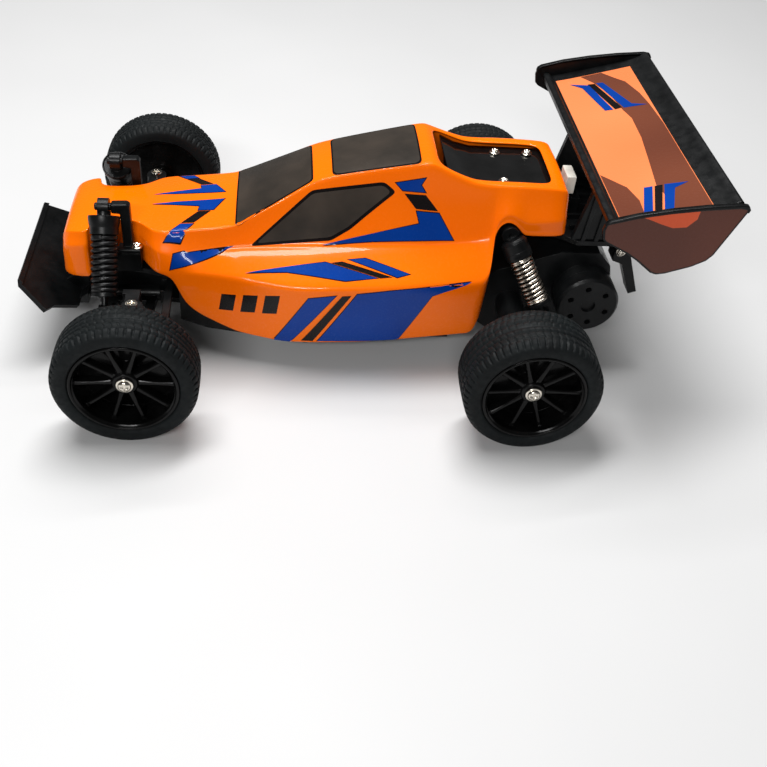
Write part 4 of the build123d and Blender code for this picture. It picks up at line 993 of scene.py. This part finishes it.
# ------------------------------------------------------------------------------ wing
WING_TOP = [(-116.8, 107.6), (-118.2, 108.3), (-119.8, 108.2), (-121.6, 106.9), (-128.0, 108.3),
            (-142.0, 112.0), (-154.0, 115.3), (-161.0, 117.3), (-165.0, 118.7), (-168.0, 120.4),
            (-169.8, 121.9), (-171.4, 122.0), (-172.4, 121.0)]
WING_UNDER = [(-171.2, 118.8), (-167.0, 116.4), (-154.0, 112.6), (-142.0, 109.2), (-128.0, 105.6),
              (-120.0, 104.0), (-117.2, 104.6)]
PLATE_OUTLINE = [(-112.8, 107.0), (-113.6, 110.4), (-115.4, 111.8), (-127.0, 115.2), (-141.0, 118.0),
                 (-156.0, 120.2), (-170.4, 121.6), (-173.6, 121.2), (-174.8, 119.2), (-165.4, 95.6),
                 (-163.0, 92.6), (-157.0, 89.2), (-146.0, 85.3), (-142.0, 84.6), (-139.0, 85.6),
                 (-132.0, 91.2), (-126.0, 95.2), (-115.2, 100.6), (-113.6, 102.2)]

# Heights of the film layers over the blade.
PANEL_LIFT, REFLECTION_LIFT, STRIPE_LIFT = 0.12, 0.20, 0.30
# The film on the wing as (x, y) outlines: the panel, its darker pools, which are painted reflections of the room,
# and the printed stripes.
WING_FILM = {
    "panel": ([(-122.4, -68.5), (-122.4, 72.5), (-161.0, 72.5), (-161.0, -68.5)], "film", PANEL_LIFT),
    # The two brown pools are painted reflections of the dark room in the film.
    "reflection_pool_rear": ([(-135.2, -68.0), (-146.0, -68.0), (-151.0, -59.0), (-154.8, -52.9), (-158.2, -37.9),
        (-159.6, -24.8), (-160.7, -4.0), (-160.7, 72.2), (-144.5, 72.2), (-144.9, 57.1), (-143.5, 48.2),
        (-145.9, 26.0), (-148.0, 5.2), (-148.5, -14.5), (-146.6, -24.1), (-144.5, -43.2),
        (-139.9, -58.5)], "film_reflection_brown", REFLECTION_LIFT),
    "reflection_pool_front": ([(-122.7, 31.6), (-126.9, 38.1), (-131.4, 45.7), (-133.8, 57.8), (-133.0, 72.2),
        (-122.7, 72.2)], "film_reflection_brown", REFLECTION_LIFT),
    "far_outer": ([(-128.3, -61.6), (-137.2, -56.5), (-142.5, -26.2), (-138.5, -26.9), (-133.4, -54.7)],
        "blue", STRIPE_LIFT),
    "far_middle": ([(-136.7, -57.8), (-140.1, -57.0), (-146.8, -26.6), (-143.4, -26.2)],
        "black_ink", STRIPE_LIFT),
    "far_flag": ([(-140.9, -57.4), (-144.2, -56.6), (-152.0, -28.8), (-158.6, -24.7), (-147.6, -26.0)],
        "blue", STRIPE_LIFT),
    "near_outer": ([(-138.0, 48.6), (-141.7, 48.8), (-136.4, 70.0), (-132.5, 70.0)], "blue", STRIPE_LIFT),
    "near_middle": ([(-142.6, 48.9), (-146.0, 49.1), (-140.3, 70.0), (-137.2, 70.0)],
        "black_ink", STRIPE_LIFT),
    "near_flag": ([(-146.8, 49.0), (-156.8, 50.6), (-150.2, 53.4), (-145.2, 70.0), (-141.3, 70.0)],
        "blue", STRIPE_LIFT),
}
# A lighter patch on the end plate's film: a painted reflection.
PLATE_REFLECTION_PATCH = [(-127.5, 114.3), (-140.0, 117.4), (-153.0, 119.0), (-152.6, 113.9), (-149.0, 109.8),
               (-143.0, 109.2), (-137.8, 110.8), (-132.2, 112.9)]


def wing():
    """The blade, its film panel with its painted reflection pools, the end plates with their rolled top edges, and
    the stripes.
    """
    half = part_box("wing_blade")[1].y / MM
    blade = side_slab("wing_blade_look", WING_TOP + WING_UNDER, -half, half, "black")
    finish_piece(blade, "chassis", ["wing_blade"], bevel=0.5, angle=40)
    surface = surface_of(blade)
    for name, (outline, look, lift) in WING_FILM.items():
        shape = [Vector(p) for p in outline]
        sticker("wing_" + name, shape, "top", surface, look, lift, "chassis", spacing=2.5)
    for side_name, side in SIDES:
        end_plate(side_name, side)


def end_plate(side_name, side):
    """One end plate with its rolled top edge, its film in a dim painted reflection and the lighter patch of
    painted reflection.
    """
    low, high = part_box(f"wing_end_plate_{side_name}")
    inner = min(abs(low.y), abs(high.y)) / MM
    y0, y1 = sorted((side * inner, side * (inner + 2.0)))
    core = side_slab(f"end_plate_{side_name}", PLATE_OUTLINE, y0, y1, "black")
    top = PLATE_OUTLINE[1:9]
    edge = top + [(x + 0.6, z - 1.9) for x, z in reversed(top)]
    rolled0, rolled1 = sorted((side * inner, side * (inner + 2.7)))
    roll = side_slab(f"end_plate_roll_{side_name}", edge, rolled0, rolled1, "black")
    replaced = [f"wing_end_plate_{side_name}"]
    finish_piece(core, "chassis", replaced, bevel=0.5, segments=2, angle=50)
    finish_piece(roll, "chassis", bevel=0.7, segments=3, angle=50)
    surface = surface_of(core)
    # The end plate's film is a dim painted reflection, and its patch is a lighter painted reflection.
    prints = {"film": (swollen(PLATE_OUTLINE, -1.0), "film_reflection_dim", 0.08),
              "patch": ([Vector(p) for p in PLATE_REFLECTION_PATCH], "film_reflection_bright", 0.16)}
    for name, (shape, look, lift) in prints.items():
        sticker(f"end_plate_{name}_{side_name}", shape, side_name, surface, look, lift,
                "chassis", 2.5)


# ------------------------------------------------------------------------------ floor, light, camera
def studio():
    """A pale floor and backdrop with a soft box overhead, a fill in front and a strip behind."""
    size = 6.0
    corners = [(-size, -size, 0), (size, -size, 0), (size, size, 0), (-size, size, 0)]
    floor = new_piece("studio_floor", corners, [[0, 1, 2, 3]], "socket", smooth=False)
    look = Look("floor_look").set(Roughness=0.6)
    greys = [(0.3, (0.56, 0.56, 0.56)), (0.7, (0.60, 0.60, 0.60))]
    look.link(look.ramp(look.noise(3.0), greys), "Base Color")
    floor.data.materials[0] = look.material
    world = bpy.data.worlds.new("studio_world")
    bpy.context.scene.world = world
    world.use_nodes = True
    world.node_tree.nodes["Background"].inputs["Color"].default_value = (1.0, 1.0, 1.0, 1.0)
    world.node_tree.nodes["Background"].inputs["Strength"].default_value = 0.12
    lamps = [
        ("overhead", (0.10, -0.15, 1.10), (0.0, 0.0, 0.0), (0.9, 0.22), 15.0),
        ("rear_strip", (0.10, -0.60, 1.10), (0.0, 0.0, 0.05), (1.1, 0.05), 4.0),
        ("front_fill", (0.30, 1.00, 0.80), (0.0, 0.0, 0.05), (0.55, 0.10), 7.5),
    ]
    for name, place, target, (width, depth), power in lamps:
        lamp = bpy.data.lights.new(name, "AREA")
        lamp.shape = "RECTANGLE"
        lamp.size, lamp.size_y = width, depth
        lamp.energy = power
        holder = bpy.data.objects.new(name, lamp)
        holder.location = place
        holder.rotation_euler = (Vector(target) - Vector(place)).to_track_quat("-Z", "Y").to_euler()
        show(holder)


CAMERA_PLACE = (25.4, 433.1, 330.6)
CAMERA_RIGHT = (-0.99420, 0.07284, 0.07912)
CAMERA_UP = (0.01120, -0.66155, 0.74982)
CAMERA_LENS = 46.844


def camera():
    """The camera, at the angle the car is seen from."""
    lens = bpy.data.cameras.new("photo_camera")
    lens.lens = CAMERA_LENS
    lens.sensor_width = 36.0
    lens.clip_start = 0.01
    holder = bpy.data.objects.new("photo_camera", lens)
    right, up = Vector(CAMERA_RIGHT).normalized(), Vector(CAMERA_UP).normalized()
    back = right.cross(up)
    turn = Matrix((right, up, back)).transposed().to_4x4()
    holder.matrix_world = Matrix.Translation(metres(*CAMERA_PLACE)) @ turn
    show(holder)
    bpy.context.scene.camera = holder


def main():
    bpy.context.scene.view_settings.view_transform = "Standard"
    dress_cad_nodes()
    shell = body_shell()
    shell_stickers(shell)
    wheels()
    shocks()
    fixed_parts()
    wing()
    studio()
    camera()


main()
